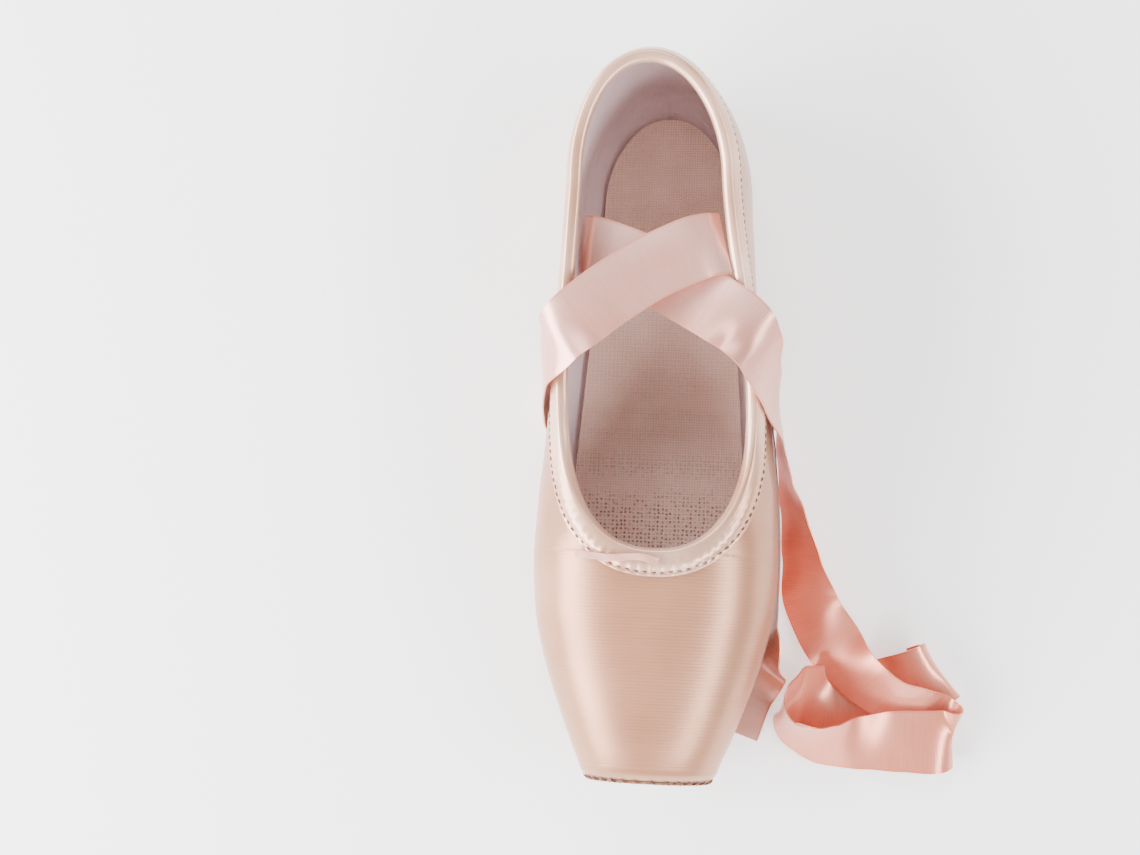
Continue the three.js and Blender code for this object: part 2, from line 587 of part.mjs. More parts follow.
// The drawstring's free end: a narrow flat tape that lies over the casing, from the knot outwards
function makeDrawstring() {
  const body = new Body();
  const line = new THREE.CatmullRomCurve3(
    DRAWSTRING.map((row) => new THREE.Vector3(row.x, row.y, row.z)));
  const rings = Array.from({ length: STRING_STEPS + 1 }, (_, i) => {
    const middle = line.getPoint(i / STRING_STEPS);
    const run = line.getTangent(i / STRING_STEPS);
    const across = new THREE.Vector3(0, 0, 1).cross(run).normalize();
    const up = run.clone().cross(across).normalize();
    return [[-1, -1], [1, -1], [1, 1], [-1, 1]].map(([w, t]) =>
      middle.clone()
        .addScaledVector(across, (w * STRING_WIDE) / 2)
        .addScaledVector(up, (t * STRING_THICK) / 2));
  });
  for (let i = 0; i < STRING_STEPS; i += 1)
    for (let j = 0; j < 4; j += 1) {
      const k = (j + 1) % 4;
      body.quad(rings[i][j], rings[i][k], rings[i + 1][k], rings[i + 1][j]);
    }
  const [first, end] = [rings[0], rings[STRING_STEPS]];
  body.quad(first[3], first[2], first[1], first[0]);
  body.quad(end[0], end[1], end[2], end[3]);
  return body.mesh("drawstring", RIBBON, 0.5);
}

const shoe = new THREE.Group();
shoe.add(makeUpper(), makeOutsole(), makeInsole(), makeToePatch(), makeCasing());
shoe.add(makeDrawstring());
shoe.add(makeRibbon("ribbon_left", LEFT_ROUTE, 0, LEFT_TAIL_FROM));
shoe.add(makeRibbon("ribbon_right", RIGHT_ROUTE, 0, RIGHT_TAIL_FROM));
shoe.add(makeRibbon("ribbon_left_tail", LEFT_ROUTE, LEFT_TAIL_FROM, LEFT_ROUTE.length - 1));
shoe.add(makeRibbon("ribbon_right_tail", RIGHT_ROUTE, RIGHT_TAIL_FROM, RIGHT_ROUTE.length - 1));

export default shoe;
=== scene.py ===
# Pointe shoe on a straight last: toe towards -Y, heel towards +Y, sole on the floor.
# Sizes in the tables are millimetres; a station is a distance back from the platform.
import math

import bmesh
import bpy
from bpy.props import FloatProperty, PointerProperty, StringProperty
from mathutils import Matrix, Vector


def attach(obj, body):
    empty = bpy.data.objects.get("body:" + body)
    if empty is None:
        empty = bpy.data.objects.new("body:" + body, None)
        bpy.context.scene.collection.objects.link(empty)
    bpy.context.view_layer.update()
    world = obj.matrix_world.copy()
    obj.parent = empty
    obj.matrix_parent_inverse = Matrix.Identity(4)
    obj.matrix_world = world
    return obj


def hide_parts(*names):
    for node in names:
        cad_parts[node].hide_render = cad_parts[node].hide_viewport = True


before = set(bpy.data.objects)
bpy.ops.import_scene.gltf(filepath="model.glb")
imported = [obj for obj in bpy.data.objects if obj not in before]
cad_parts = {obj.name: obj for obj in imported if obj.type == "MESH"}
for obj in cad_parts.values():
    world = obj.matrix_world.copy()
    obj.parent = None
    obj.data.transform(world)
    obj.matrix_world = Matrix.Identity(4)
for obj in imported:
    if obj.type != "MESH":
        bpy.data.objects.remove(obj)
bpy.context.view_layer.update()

bl_info = {
    "name": "Pointe Shoe",
    "version": (1, 0, 0),
    "blender": (4, 5, 0),
    "location": "3D View > Sidebar > Pointe Shoe",
    "description": "Makes a satin pointe shoe with its ribbons, and the stage it stands on",
    "category": "Object",
}

MM = 0.001
CM = 0.1  # UV maps are in centimetres of cloth
STITCH_DIP = 0.35  # of its thickness

# The last, as the model has it
LENGTH = 246.0
HEEL_START = 200.0
THROAT = 74.0
LOW_CURVE = 3.6
TOP_CURVE = 2.3
LEAN_START = 90.0
LEAN_END = 200.0
LEAN = -6.0
LEAN_HEIGHT = 60.0
BOX_WALL = 2.8
QUARTER_WALL = 1.6
BOX_END = 100.0
BOX_FLOOR = 5.0
GAP = 0.3
SOLE_THICK = 2.5
TABLE_STEP = 0.25  # between the stations that the tables are worked out for
SPLINE_STEPS = 24  # between two rows of a route
SLOPE_STEP = 0.05

LAST_COLUMNS = ("back", "half", "under", "wide", "crown")
LAST = (
    (0, 21.0, 8.6, 21.0, 34.0),
    (1.5, 22.6, 6.8, 21.1, 36.4),
    (5, 24.0, 5.6, 21.2, 38.8),
    (12, 27.0, 4.6, 21.5, 42.0),
    (24, 31.6, 3.4, 22.0, 46.0),
    (40, 37.0, 2.8, 22.5, 50.0),
    (56, 40.4, 2.8, 23.0, 53.5),
    (74, 41.6, 2.8, 23.0, 56.5),
    (92, 40.8, 3.0, 23.0, 59.7),
    (112, 38.8, 4.8, 23.5, 63.3),
    (136, 36.2, 9.2, 24.5, 67.3),
    (160, 33.9, 9.2, 24.0, 69.8),
    (182, 32.2, 4.4, 22.0, 72.9),
    (200, 31.0, 2.8, 21.0, 76.7),
    (234, 30.6, 2.8, 21.0, 88.0),
    (246, 30.6, 2.8, 21.0, 88.0),
)
COLLAR_COLUMNS = ("back", "height")
COLLAR = (
    (74, 56.5),
    (92, 53.0),
    (112, 49.6),
    (136, 47.6),
    (160, 48.6),
    (182, 52.0),
    (200, 55.0),
    (236, 65.0),
    (246, 65.0),
)
SOLE_COLUMNS = ("back", "half")
SOLE = (
    (16, 13.0),
    (40, 20.5),
    (66, 23.5),
    (92, 22.0),
    (118, 17.0),
    (144, 14.0),
    (170, 15.5),
    (196, 18.5),
    (214, 19.0),
    (240, 17.5),
)

# Each row of a ribbon: x, y and z of its middle, then the direction across it
LEFT_ROUTE = (
    (-29.2, 54.6, 38, 0.03, 1, 0.1),
    (-26.6, 53.9, 43.6, 0.05, 1, 0.08),
    (-18.1, 51.2, 45.4, 0.1, 1, 0.05),
    (-4.7, 45.6, 46.8, 0.3, 0.95, 0.05),
    (9.8, 37.8, 46.8, 0.4, 0.92, 0.05),
    (19.5, 31.5, 50.6, 0.45, 0.89, 0.06),
    (27, 25.8, 52.9, 0.5, 0.85, -0.15),
    (32.8, 18.5, 50.6, 0.54, 0.72, -0.44),
    (37.2, 8.5, 41.5, 0.27, 0.69, -0.67),
    (41, -3, 29, 0, 0.49, -0.87),
    (43.9, -17, 18.5, -0.13, 0.23, -0.96),
    (47, -30, 13.6, -0.33, 0.1, -0.93),
    (50.2, -46.5, 11, -0.5, -0.05, -0.86),
    (54, -62, 9, -0.74, -0.22, -0.63),
    (61.5, -75, 8.6, -0.78, -0.42, -0.46),
    (70, -86, 9.8, -0.5, -0.55, -0.67),
    (80, -93.5, 9.6, -0.15, -0.66, -0.73),
    (90, -98.5, 7.6, -0.05, -0.83, -0.55),
    (98.5, -102, 4.6, 0, -0.94, -0.34),
    (103.8, -105.8, 6.5, 0, -0.96, -0.27),
    (98, -107.9, 8.8, 0, -0.98, -0.2),
    (86, -108.2, 8.4, 0, -0.95, -0.3),
    (74, -109.2, 8, 0.04, -0.86, -0.5),
    (62.5, -110.6, 8.8, 0.08, -0.68, -0.73),
    (52.5, -108.4, 10.6, 0, -0.5, -0.86),
    (45.4, -103, 12.2, -0.1, -0.25, -0.96),
    (45.4, -96.4, 11, 0, -0.5, -0.86),
    (52.5, -94, 5.6, 0, -0.9, -0.43),
    (63, -95, 1.4, 0, -1, -0.04),
    (74, -93.6, 1, 0.1, -0.99, 0),
    (82.5, -90.8, 2.8, 0.32, -0.94, -0.06),
    (90, -87.8, 6, 0.5, -0.84, -0.16),
    (96, -85.3, 7.6, 0.62, -0.76, -0.18),
    (99.6, -83.7, 5.2, 0.68, -0.72, -0.12),
    (98, -84.5, 2, 0.7, -0.71, -0.04),
    (92.5, -86.8, 0.9, 0.7, -0.71, 0),
)
RIGHT_ROUTE = (
    (20, 55, 48.4, -0.2, 0.95, -0.17),
    (15.4, 54.2, 50.8, -0.22, 0.95, -0.12),
    (9.5, 52.2, 51.6, -0.3, 0.95, 0.05),
    (-3.7, 45.8, 51.8, -0.4, 0.9, 0),
    (-16, 37.3, 52.8, -0.5, 0.86, 0),
    (-26, 29.2, 53.4, -0.5, 0.84, -0.05),
    (-34.4, 21.2, 52.6, -0.52, 0.79, -0.3),
    (-39.6, 14.5, 43, -0.18, 0.8, -0.57),
    (-40, 8.5, 31, -0.04, 0.9, -0.45),
    (-39.6, 5, 19, 0, 1, -0.1),
    (-36.4, 5, 7.5, -0.05, 0.97, 0.08),
    (-27, 8, 1.3, -0.25, 0.95, 0),
    (-12, 11.5, 0.8, -0.1, 1, 0),
    (6, 13, 0.8, 0, 1, 0),
    (20, 11.5, 0.8, 0.25, 0.95, 0.05),
    (29.5, 8, 3.4, 0.5, 0.7, 0.45),
    (36.8, 2, 9.2, 0.25, 0.12, 0.96),
    (39.5, -7, 11.3, 0, 0, 1),
    (40.5, -18, 11.3, 0, 0, 1),
    (41.5, -31, 11.3, 0, 0, 1),
    (42.2, -46, 11.3, 0, 0, 1),
    (42.1, -60, 11.3, 0, 0, 1),
    (41, -70, 11.1, 0.08, 0, 1),
    (39.4, -78, 10.4, 0.4, 0, 0.91),
    (36.4, -86, 4.6, 0.9, 0, 0.42),
    (31.4, -95, 0.9, 1, 0, 0),
    (27, -107.5, 0.7, 0.95, 0.3, 0),
)
# x, y and z along the free end
DRAWSTRING = (
    (1.5, -51.8, 58.9),
    (-4.4, -50.4, 59),
    (-12, -50.9, 58.5),
    (-16.6, -50.8, 57.6),
    (-20.8, -50.4, 56.1),
    (-25.4, -49.8, 53.4),
)


def curve_column(table, columns, name):
    """One column of a table as a smooth monotone curve, worked out at every TABLE_STEP."""
    backs = [row[0] for row in table]
    values = [row[columns.index(name)] for row in table]
    steps = [b - a for a, b in zip(backs, backs[1:])]
    rises = [(b - a) / h for a, b, h in zip(values, values[1:], steps)]
    slopes = [rises[0]]
    for i in range(1, len(rises)):
        before, after = rises[i - 1], rises[i]
        if before * after <= 0:
            slopes.append(0.0)
            continue
        w1 = 2 * steps[i] + steps[i - 1]
        w2 = steps[i] + 2 * steps[i - 1]
        slopes.append((w1 + w2) / (w1 / before + w2 / after))
    slopes.append(rises[-1])
    out = []
    i = 0
    for n in range(int(LENGTH / TABLE_STEP) + 1):
        at = min(max(n * TABLE_STEP, backs[0]), backs[-1])
        while i < len(steps) - 1 and at > backs[i + 1]:
            i += 1
        h = steps[i]
        t = (at - backs[i]) / h
        value = (1 + 2 * t) * (1 - t) ** 2 * values[i]
        value += t * (1 - t) ** 2 * h * slopes[i]
        value += t * t * (3 - 2 * t) * values[i + 1]
        value += t * t * (t - 1) * h * slopes[i + 1]
        out.append(value)
    return out


CURVES = {name: curve_column(LAST, LAST_COLUMNS, name) for name in LAST_COLUMNS[1:]}
CURVES["height"] = curve_column(COLLAR, COLLAR_COLUMNS, "height")
CURVES["sole"] = curve_column(SOLE, SOLE_COLUMNS, "half")


def along(name, back):
    """Value of a column at a station."""
    curve = CURVES[name]
    at = min(max(back, 0.0), LENGTH) / TABLE_STEP
    i = min(int(at), len(curve) - 2)
    return curve[i] + (curve[i + 1] - curve[i]) * (at - i)


def smooth(t):
    """0 to 1 with soft ends."""
    u = min(max(t, 0.0), 1.0)
    return u * u * (3 - 2 * u)


def hump(t):
    """1 at 0, falling softly to 0 at -1 and 1."""
    return smooth(1 - abs(t))


def mix(a, b, t):
    """From a to b."""
    return a + (b - a) * t


def quarter(share, power):
    """Height of a quarter superellipse over its share across."""
    return max(1 - share ** power, 0.0) ** (1 / power)


def wall_at(back):
    """Thickness of the wall, pasted box to soft quarter."""
    return mix(BOX_WALL, QUARTER_WALL, smooth(back / BOX_END))


def lean(back, z):
    """Sideways lean of the soft quarters."""
    return LEAN * smooth((back - LEAN_START) / (LEAN_END - LEAN_START)) * (max(z, 0) / LEAN_HEIGHT) ** 1.5


def section(back, inset):
    """Half width, underside, widest height, crown and top of a section drawn in by inset."""
    half = along("half", back)
    wide = along("wide", back)
    crown = along("crown", back)
    under = along("under", back)
    top = crown - inset
    if back > THROAT:
        height = along("height", back)
        rim = quarter(min((height - wide) / (crown - wide), 1.0), TOP_CURVE)
        top = height - inset * math.sqrt(1 - rim * rim)
    return half - inset, under + inset, wide, crown - inset, top


STRETCH = (LENGTH - HEEL_START) / LAST[-1][1]


def place(back, r, z, side, inset):
    """A section's half width and height as a point: straight across, or round the heel."""
    turn = max(back - HEEL_START, 0.0) / (LENGTH - HEEL_START) * math.pi / 2
    reach = r * STRETCH + inset * (STRETCH - 1)
    x = side * r * math.cos(turn) + lean(back, z)
    return Vector((x, min(back, HEEL_START) + reach * math.sin(turn) - LENGTH / 2, z))


def last_point(back, k, side, inset=0.0, open_half=0.0):
    """k is -1 at the bottom centre, 0 at the widest line, 1 at the collar's edge or crown."""
    half, under, wide, crown, top = section(back, inset)
    if k > 0:
        full = min((top - wide) / (crown - wide), 1.0)
        angle = k * math.asin(full ** (TOP_CURVE / 2))
        r = half * max(math.cos(angle), 0.0) ** (2 / TOP_CURVE)
        z = wide + (crown - wide) * math.sin(angle) ** (2 / TOP_CURVE)
    else:
        angle = -k * math.acos(min(open_half / half, 1.0) ** (LOW_CURVE / 2))
        r = half * max(math.cos(angle), 0.0) ** (2 / LOW_CURVE)
        z = wide - (wide - under) * math.sin(angle) ** (2 / LOW_CURVE)
    return place(back, 0.0 if r < 1e-3 else r, z, side, inset)


def section_under(x, y):
    """Station and share across of a point of the plan, round the heel too."""
    past = max(y + LENGTH / 2 - HEEL_START, 0.0) / STRETCH
    turn = math.atan2(past, abs(x)) / (math.pi / 2) if past > 0 else 0.0
    back = HEEL_START + turn * (LENGTH - HEEL_START) if past > 0 else y + LENGTH / 2
    return back, math.hypot(x, past)


def underside(x, y, inset):
    """Height of the last's underside above a point of the plan."""
    back, reach = section_under(x, y)
    half, under, wide = section(back, inset)[:3]
    return wide - (wide - under) * quarter(min(reach / half, 1.0), LOW_CURVE)


def outside(p):
    """How far a point above the widest line lies outside the closed last, in shares."""
    x = p.x - lean(p.y + LENGTH / 2, p.z)
    back, reach = section_under(x, p.y)
    half, _, wide, crown, _ = section(back, 0.0)
    up = max(p.z - wide, 0.0) / (crown - wide)
    return (reach / half) ** TOP_CURVE + up ** TOP_CURVE - 1


def slope_at(p):
    """Slope of that measure; its direction is the last's outward normal."""
    out = []
    for axis in range(3):
        ahead = p.copy()
        behind = p.copy()
        ahead[axis] += SLOPE_STEP
        behind[axis] -= SLOPE_STEP
        out.append((outside(ahead) - outside(behind)) / (2 * SLOPE_STEP))
    return Vector(out)


def onto_last(p):
    """Moves a point onto the last's surface."""
    for _ in range(3):
        slope = slope_at(p)
        p = p - slope * (outside(p) / slope.length_squared)
    return p


def run_along(points):
    """Length from the first point to each one."""
    runs = [0.0]
    for a, b in zip(points, points[1:]):
        runs.append(runs[-1] + (b - a).length)
    return runs


def direction_at(points, i, reach=1):
    """Unit direction of a row of points at one of them."""
    return (points[min(i + reach, len(points) - 1)] - points[max(i - reach, 0)]).normalized()


def spline(points, count):
    """Evenly spaced points of a smooth curve through the given ones."""
    dense = []
    last = len(points) - 1
    for i in range(last):
        a = points[max(i - 1, 0)]
        b, c = points[i], points[i + 1]
        d = points[min(i + 2, last)]
        for n in range(SPLINE_STEPS):
            t = n / SPLINE_STEPS
            p = b * 2 + (c - a) * t + (a * 2 - b * 5 + c * 4 - d) * t * t
            p = p + (b * 3 - a - c * 3 + d) * t * t * t
            dense.append(p * 0.5)
    dense.append(points[-1].copy())
    runs = run_along(dense)
    out = []
    i = 0
    for n in range(count):
        want = runs[-1] * n / (count - 1)
        while i < len(runs) - 2 and runs[i + 1] < want:
            i += 1
        span = max(runs[i + 1] - runs[i], 1e-9)
        out.append(dense[i].lerp(dense[i + 1], (want - runs[i]) / span))
    return out


def stations(start, end, count, power=1.0, rear=False):
    """Stations past start up to end; a power over 1 crowds them at start, or at end with rear."""
    if rear:
        return [end - (end - start) * ((count - 1 - i) / count) ** power for i in range(count)]
    return [start + (end - start) * ((i + 1) / count) ** power for i in range(count)]


# Making meshes
def choose(*pieces):
    """Selects these pieces and nothing else, so that an operator acts on them only."""
    if bpy.context.object and bpy.context.object.mode != "OBJECT":
        bpy.ops.object.mode_set(mode="OBJECT")
    bpy.ops.object.select_all(action="DESELECT")
    for piece in pieces:
        piece.select_set(True)
        bpy.context.view_layer.objects.active = pieces[0]


def edit_all():
    """Opens the active piece in edit mode with all of it selected."""
    bpy.ops.object.mode_set(mode="EDIT")
    bpy.ops.mesh.select_all(action="SELECT")


def turn_outwards():
    """Turns every face of the open piece outwards and closes edit mode."""
    bpy.ops.mesh.select_all(action="SELECT")
    bpy.ops.mesh.normals_make_consistent(inside=False)
    bpy.ops.object.mode_set(mode="OBJECT")


def sheet_of(name, rows, merge=0.02, closed=True):
    """A grid added and laid onto rows of points in millimetres, its doubles merged."""
    choose()
    across = len(rows[0])
    bpy.ops.mesh.primitive_grid_add(x_subdivisions=across - 1, y_subdivisions=len(rows) - 1, size=1)
    piece = bpy.context.object
    piece.name = name
    piece.data.name = name
    if len(piece.data.vertices) != across * len(rows):
        raise RuntimeError("grid has the wrong number of corners: " + name)
    flat = [c * MM for row in rows for p in row for c in p]
    piece.data.vertices.foreach_set("co", flat)
    lay_uv(piece, rows)
    edit_all()
    bpy.ops.mesh.remove_doubles(threshold=merge * MM)
    if closed:
        turn_outwards()
    else:
        bpy.ops.object.mode_set(mode="OBJECT")
    return piece


def lay_uv(piece, rows):
    """UV in centimetres of cloth: u across a row, v along the rows' middle."""
    across = len(rows[0])
    middle = across // 2
    vs = [0.0]
    for a, b in zip(rows, rows[1:]):
        vs.append(vs[-1] + max((b[middle] - a[middle]).length, (b[0] - a[0]).length * 0.5))
    us = []
    for row in rows:
        run = run_along(row)
        us.append([u - run[middle] for u in run])
    layer = piece.data.uv_layers.active.data
    for loop in piece.data.loops:
        i, j = divmod(loop.vertex_index, across)
        layer[loop.index].uv = (us[i][j] * CM, vs[i] * CM)


def apply_modifier(piece, kind, **settings):
    """Adds a modifier, sets it and applies it."""
    choose(piece)
    bpy.ops.object.modifier_add(type=kind)
    modifier = piece.modifiers[-1]
    for key, value in settings.items():
        setattr(modifier, key, value)
    bpy.ops.object.modifier_apply(modifier=modifier.name)


def finish_piece(piece, material, degrees, replaced=()):
    """Smooth shading, material, body, and the CAD nodes that the piece stands for."""
    choose(piece)
    bpy.ops.object.transform_apply(location=True, rotation=True, scale=True)
    bpy.ops.object.shade_smooth_by_angle(angle=math.radians(degrees))
    piece.data.materials.clear()
    piece.data.materials.append(MATERIALS[material])
    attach(piece, "root")
    if replaced:
        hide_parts(*replaced)


def copies(name, template, frames):
    """One mesh of a small shape repeated at each frame."""
    shape = bmesh.new()
    shape.from_mesh(template.data)
    corners = [v.co.copy() for v in shape.verts]
    faces = [[v.index for v in f.verts] for f in shape.faces]
    shape.free()
    points = []
    loops = []
    for matrix in frames:
        start = len(points)
        points.extend(matrix @ c for c in corners)
        loops.extend([start + i for i in face] for face in faces)
    mesh = bpy.data.meshes.new(name)
    mesh.from_pydata(points, [], loops)
    piece = bpy.data.objects.new(name, mesh)
    bpy.context.scene.collection.objects.link(piece)
    choose()
    bpy.data.objects.remove(template)
    return piece


def frame_at(p, run, up):
    """Matrix with X along run and Z along up, at a point in millimetres."""
    x = run.normalized()
    y = up.cross(x).normalized()
    turn = Matrix((x, y, x.cross(y))).transposed().to_4x4()
    return Matrix.Translation(p * MM) @ turn


def stitch_shape(length, thick):
    """One sewn stitch: a short plump thread, pulled down at both ends."""
    choose()
    bpy.ops.mesh.primitive_uv_sphere_add(segments=8, ring_count=8, radius=0.5)
    piece = bpy.context.object
    for v in piece.data.vertices:
        x, y, z = v.co.z * length, v.co.x * thick, v.co.y * thick
        v.co = Vector((x, y, z - STITCH_DIP * thick * (2 * x / length) ** 2)) * MM
    return piece


# Materials
WAVE_PITCH = 0.314  # of a wave texture's bands at scale 1
PLY_MM = 0.5
WHITE = (1, 1, 1, 1)
SLUB_SHADE = (0.9, 0.88, 0.88, 1)
WEFT_SHADE = (0.93, 0.915, 0.905, 1)
BETWEEN_THREADS = (0.8, 0.76, 0.74, 1)
# Painted shade multiplied into the ribbon tails beside the shoe
TAIL_PAINTED_SHADE = (0.95, 0.60, 0.46, 1)
UV_MAP = "ShaderNodeUVMap"
COORDINATES = "ShaderNodeTexCoord"
WAVE = "ShaderNodeTexWave"
NOISE = "ShaderNodeTexNoise"
RAMP = "ShaderNodeValToRGB"
SEPARATE = "ShaderNodeSeparateXYZ"
MAP_RANGE = "ShaderNodeMapRange"
BUMP = "ShaderNodeBump"
BLEND = "ShaderNodeMix"
# Input 0 of a colour blend is its share, 6 and 7 are the two colours, and output 2 is the result
MIXED = (("data_type", "RGBA"),)
MULTIPLIED = (("data_type", "RGBA"), ("blend_type", "MULTIPLY"))
SOFT = (("interpolation_type", "SMOOTHSTEP"),)


def linear(code):
    """sRGB hex to linear colour."""
    out = []
    for i in (1, 3, 5):
        c = int(code[i:i + 2], 16) / 255
        out.append(c / 12.92 if c <= 0.04045 else ((c + 0.055) / 1.055) ** 2.4)
    return (*out, 1.0)


def add_node(tree, kind, out, inputs, settings=(), stops=()):
    """Adds a node and gives one output; an input is a value, or the output that is linked to it."""
    node = tree.nodes.new(kind)
    for key, value in settings:
        setattr(node, key, value)
    for key, value in inputs.items():
        if isinstance(value, bpy.types.NodeSocket):
            tree.links.new(value, node.inputs[key])
        else:
            node.inputs[key].default_value = value
    for _ in stops[2:]:
        node.color_ramp.elements.new(0.5)
    for n, (at, colour) in enumerate(stops):
        node.color_ramp.elements[n].position = at
        node.color_ramp.elements[n].color = colour
    return node.outputs[out]


def new_material(name, **constants):
    """A material with its shader's constants set, and its tree and shader."""
    material = bpy.data.materials.new(name)
    material.use_nodes = True
    tree = material.node_tree
    shader = next(n for n in tree.nodes if n.type == "BSDF_PRINCIPLED")
    for key, value in constants.items():
        shader.inputs[key.replace("_", " ")].default_value = value
    return material, tree, shader


def satin(name, light, deep, weft_mm, bump, roughness, direction="Y", half_mm=None):
    """Satin: long floats give a soft bright band, and fine weft lines break it."""
    material, tree, shader = new_material(
        name,
        Roughness=roughness,
        Metallic=0.38,
        Anisotropic=0.5,
        Sheen_Weight=0.2,
        Sheen_Roughness=0.4,
        Specular_IOR_Level=0.9,
        IOR=1.5,
    )
    uv = add_node(tree, UV_MAP, "UV", {})
    at = add_node(tree, COORDINATES, "Object", {})
    lines = {"Vector": uv, "Scale": WAVE_PITCH / (weft_mm * CM), "Detail": 2.0, "Detail Scale": 2.0}
    lines["Distortion"] = 0.6
    weft = add_node(tree, WAVE, "Fac", lines, (("bands_direction", direction),))
    # Slubs, where a thread is a little thicker: about 10 mm long and 0.7 mm across
    long_way = (0.6, 9.0, 1.0) if direction == "Y" else (9.0, 0.6, 1.0)
    stretched = add_node(tree, "ShaderNodeMapping", "Vector", {"Vector": uv, "Scale": long_way})
    slub = add_node(tree, NOISE, "Fac", {"Vector": stretched, "Scale": 1.6, "Detail": 5.0, "Roughness": 0.6})
    # The dye's tone drifts over about 40 mm
    broad = add_node(tree, NOISE, "Fac", {"Vector": at, "Scale": 26.0, "Detail": 2.0})
    tone = add_node(tree, RAMP, "Color", {"Fac": broad}, stops=((0.3, linear(deep)), (0.7, linear(light))))
    streak = add_node(tree, RAMP, "Color", {"Fac": slub}, stops=((0.3, SLUB_SHADE), (0.7, WHITE)))
    lined = add_node(tree, RAMP, "Color", {"Fac": weft}, stops=((0.0, WEFT_SHADE), (1.0, WHITE)))
    streaked = add_node(tree, BLEND, 2, {0: 1.0, 6: tone, 7: streak}, MULTIPLIED)
    colour = add_node(tree, BLEND, 2, {0: 1.0, 6: streaked, 7: lined}, MULTIPLIED)
    if half_mm:
        # The selvage: a narrow dull band, woven tight, along both edges of a ribbon
        across = add_node(tree, SEPARATE, "X", {"Vector": uv})
        out = add_node(tree, "ShaderNodeMath", "Value", {0: across}, (("operation", "ABSOLUTE"),))
        band = {"Value": out, "From Min": (half_mm - 0.9) * CM, "From Max": (half_mm - 0.5) * CM}
        edge = add_node(tree, MAP_RANGE, "Result", band)
        colour = add_node(tree, BLEND, 2, {0: edge, 6: colour, 7: linear(deep)}, MIXED)
        # Painted shade: beside the shoe, in the tails, the colour is multiplied deeper for the shade and
        # coloured bounce light in their folds, with a soft change at the flank
        x = add_node(tree, SEPARATE, "X", {"Vector": at})
        tail = add_node(tree, MAP_RANGE, "Result", {"Value": x, "From Min": 0.034, "From Max": 0.048}, SOFT)
        tail_painted_shade = add_node(tree, BLEND, 2, {0: 1.0, 6: colour, 7: TAIL_PAINTED_SHADE}, MULTIPLIED)
        colour = add_node(tree, BLEND, 2, {0: tail, 6: colour, 7: tail_painted_shade}, MIXED)
    # A bump's distance is in metres
    low = add_node(tree, BUMP, "Normal", {"Height": slub, "Strength": bump * 0.5, "Distance": 0.00012})
    fine = {"Height": weft, "Strength": bump, "Distance": 0.00006, "Normal": low}
    tree.links.new(colour, shader.inputs["Base Color"])
    tree.links.new(add_node(tree, BUMP, "Normal", fine), shader.inputs["Normal"])
    return material


def woven(name, light, deep, thread_mm, bump, roughness, dot_mm=None, laid=False):
    """Plain cotton weave: crossed threads with a dull surface; dot_mm adds dots towards the toe."""
    material, tree, shader = new_material(name, Roughness=roughness, Sheen_Weight=0.15, Sheen_Roughness=0.6)
    at = add_node(tree, COORDINATES, "Object", {})
    grid = add_node(tree, UV_MAP, "UV", {}) if laid else at
    threads = {"Vector": grid, "Scale": WAVE_PITCH / (thread_mm * (CM if laid else MM)), "Distortion": 0.8}
    threads.update({"Detail": 2.0, "Detail Scale": 1.5})
    warp, weft = [add_node(tree, WAVE, "Fac", threads, (("bands_direction", d),)) for d in ("X", "Y")]
    cross = add_node(tree, "ShaderNodeMath", "Value", {0: warp, 1: weft}, (("operation", "MULTIPLY"),))
    # Its tone drifts over about 33 mm
    broad = add_node(tree, NOISE, "Fac", {"Vector": at, "Scale": 30.0, "Detail": 4.0, "Roughness": 0.6})
    tone = add_node(tree, RAMP, "Color", {"Fac": broad}, stops=((0.3, linear(deep)), (0.7, linear(light))))
    fleck = add_node(tree, RAMP, "Color", {"Fac": cross}, stops=((0.0, BETWEEN_THREADS), (0.8, WHITE)))
    colour = add_node(tree, BLEND, 2, {0: 0.8, 6: tone, 7: fleck}, MULTIPLIED)
    if dot_mm:
        spots = {"Vector": at, "Scale": 1 / (dot_mm * MM), "Randomness": 0.3}
        dots = add_node(tree, "ShaderNodeTexVoronoi", "Distance", spots)
        shades = ((0.16, (0.26, 0.16, 0.14, 1)), (0.3, (0.85, 0.8, 0.78, 1)), (0.5, (1.18, 1.15, 1.12, 1)))
        dot = add_node(tree, RAMP, "Color", {"Fac": dots}, stops=shades)
        dotted = add_node(tree, BLEND, 2, {0: 1.0, 6: colour, 7: dot}, MULTIPLIED)
        y = add_node(tree, SEPARATE, "Y", {"Vector": at})
        fade = {"Value": y, "From Min": -0.008, "From Max": -0.036, "To Min": 0.14, "To Max": 0.95}
        near = add_node(tree, MAP_RANGE, "Result", fade, SOFT)
        colour = add_node(tree, BLEND, 2, {0: near, 6: colour, 7: dotted}, MIXED)
    normal = add_node(tree, BUMP, "Normal", {"Height": cross, "Strength": bump, "Distance": 0.00015})
    tree.links.new(colour, shader.inputs["Base Color"])
    tree.links.new(normal, shader.inputs["Normal"])
    return material


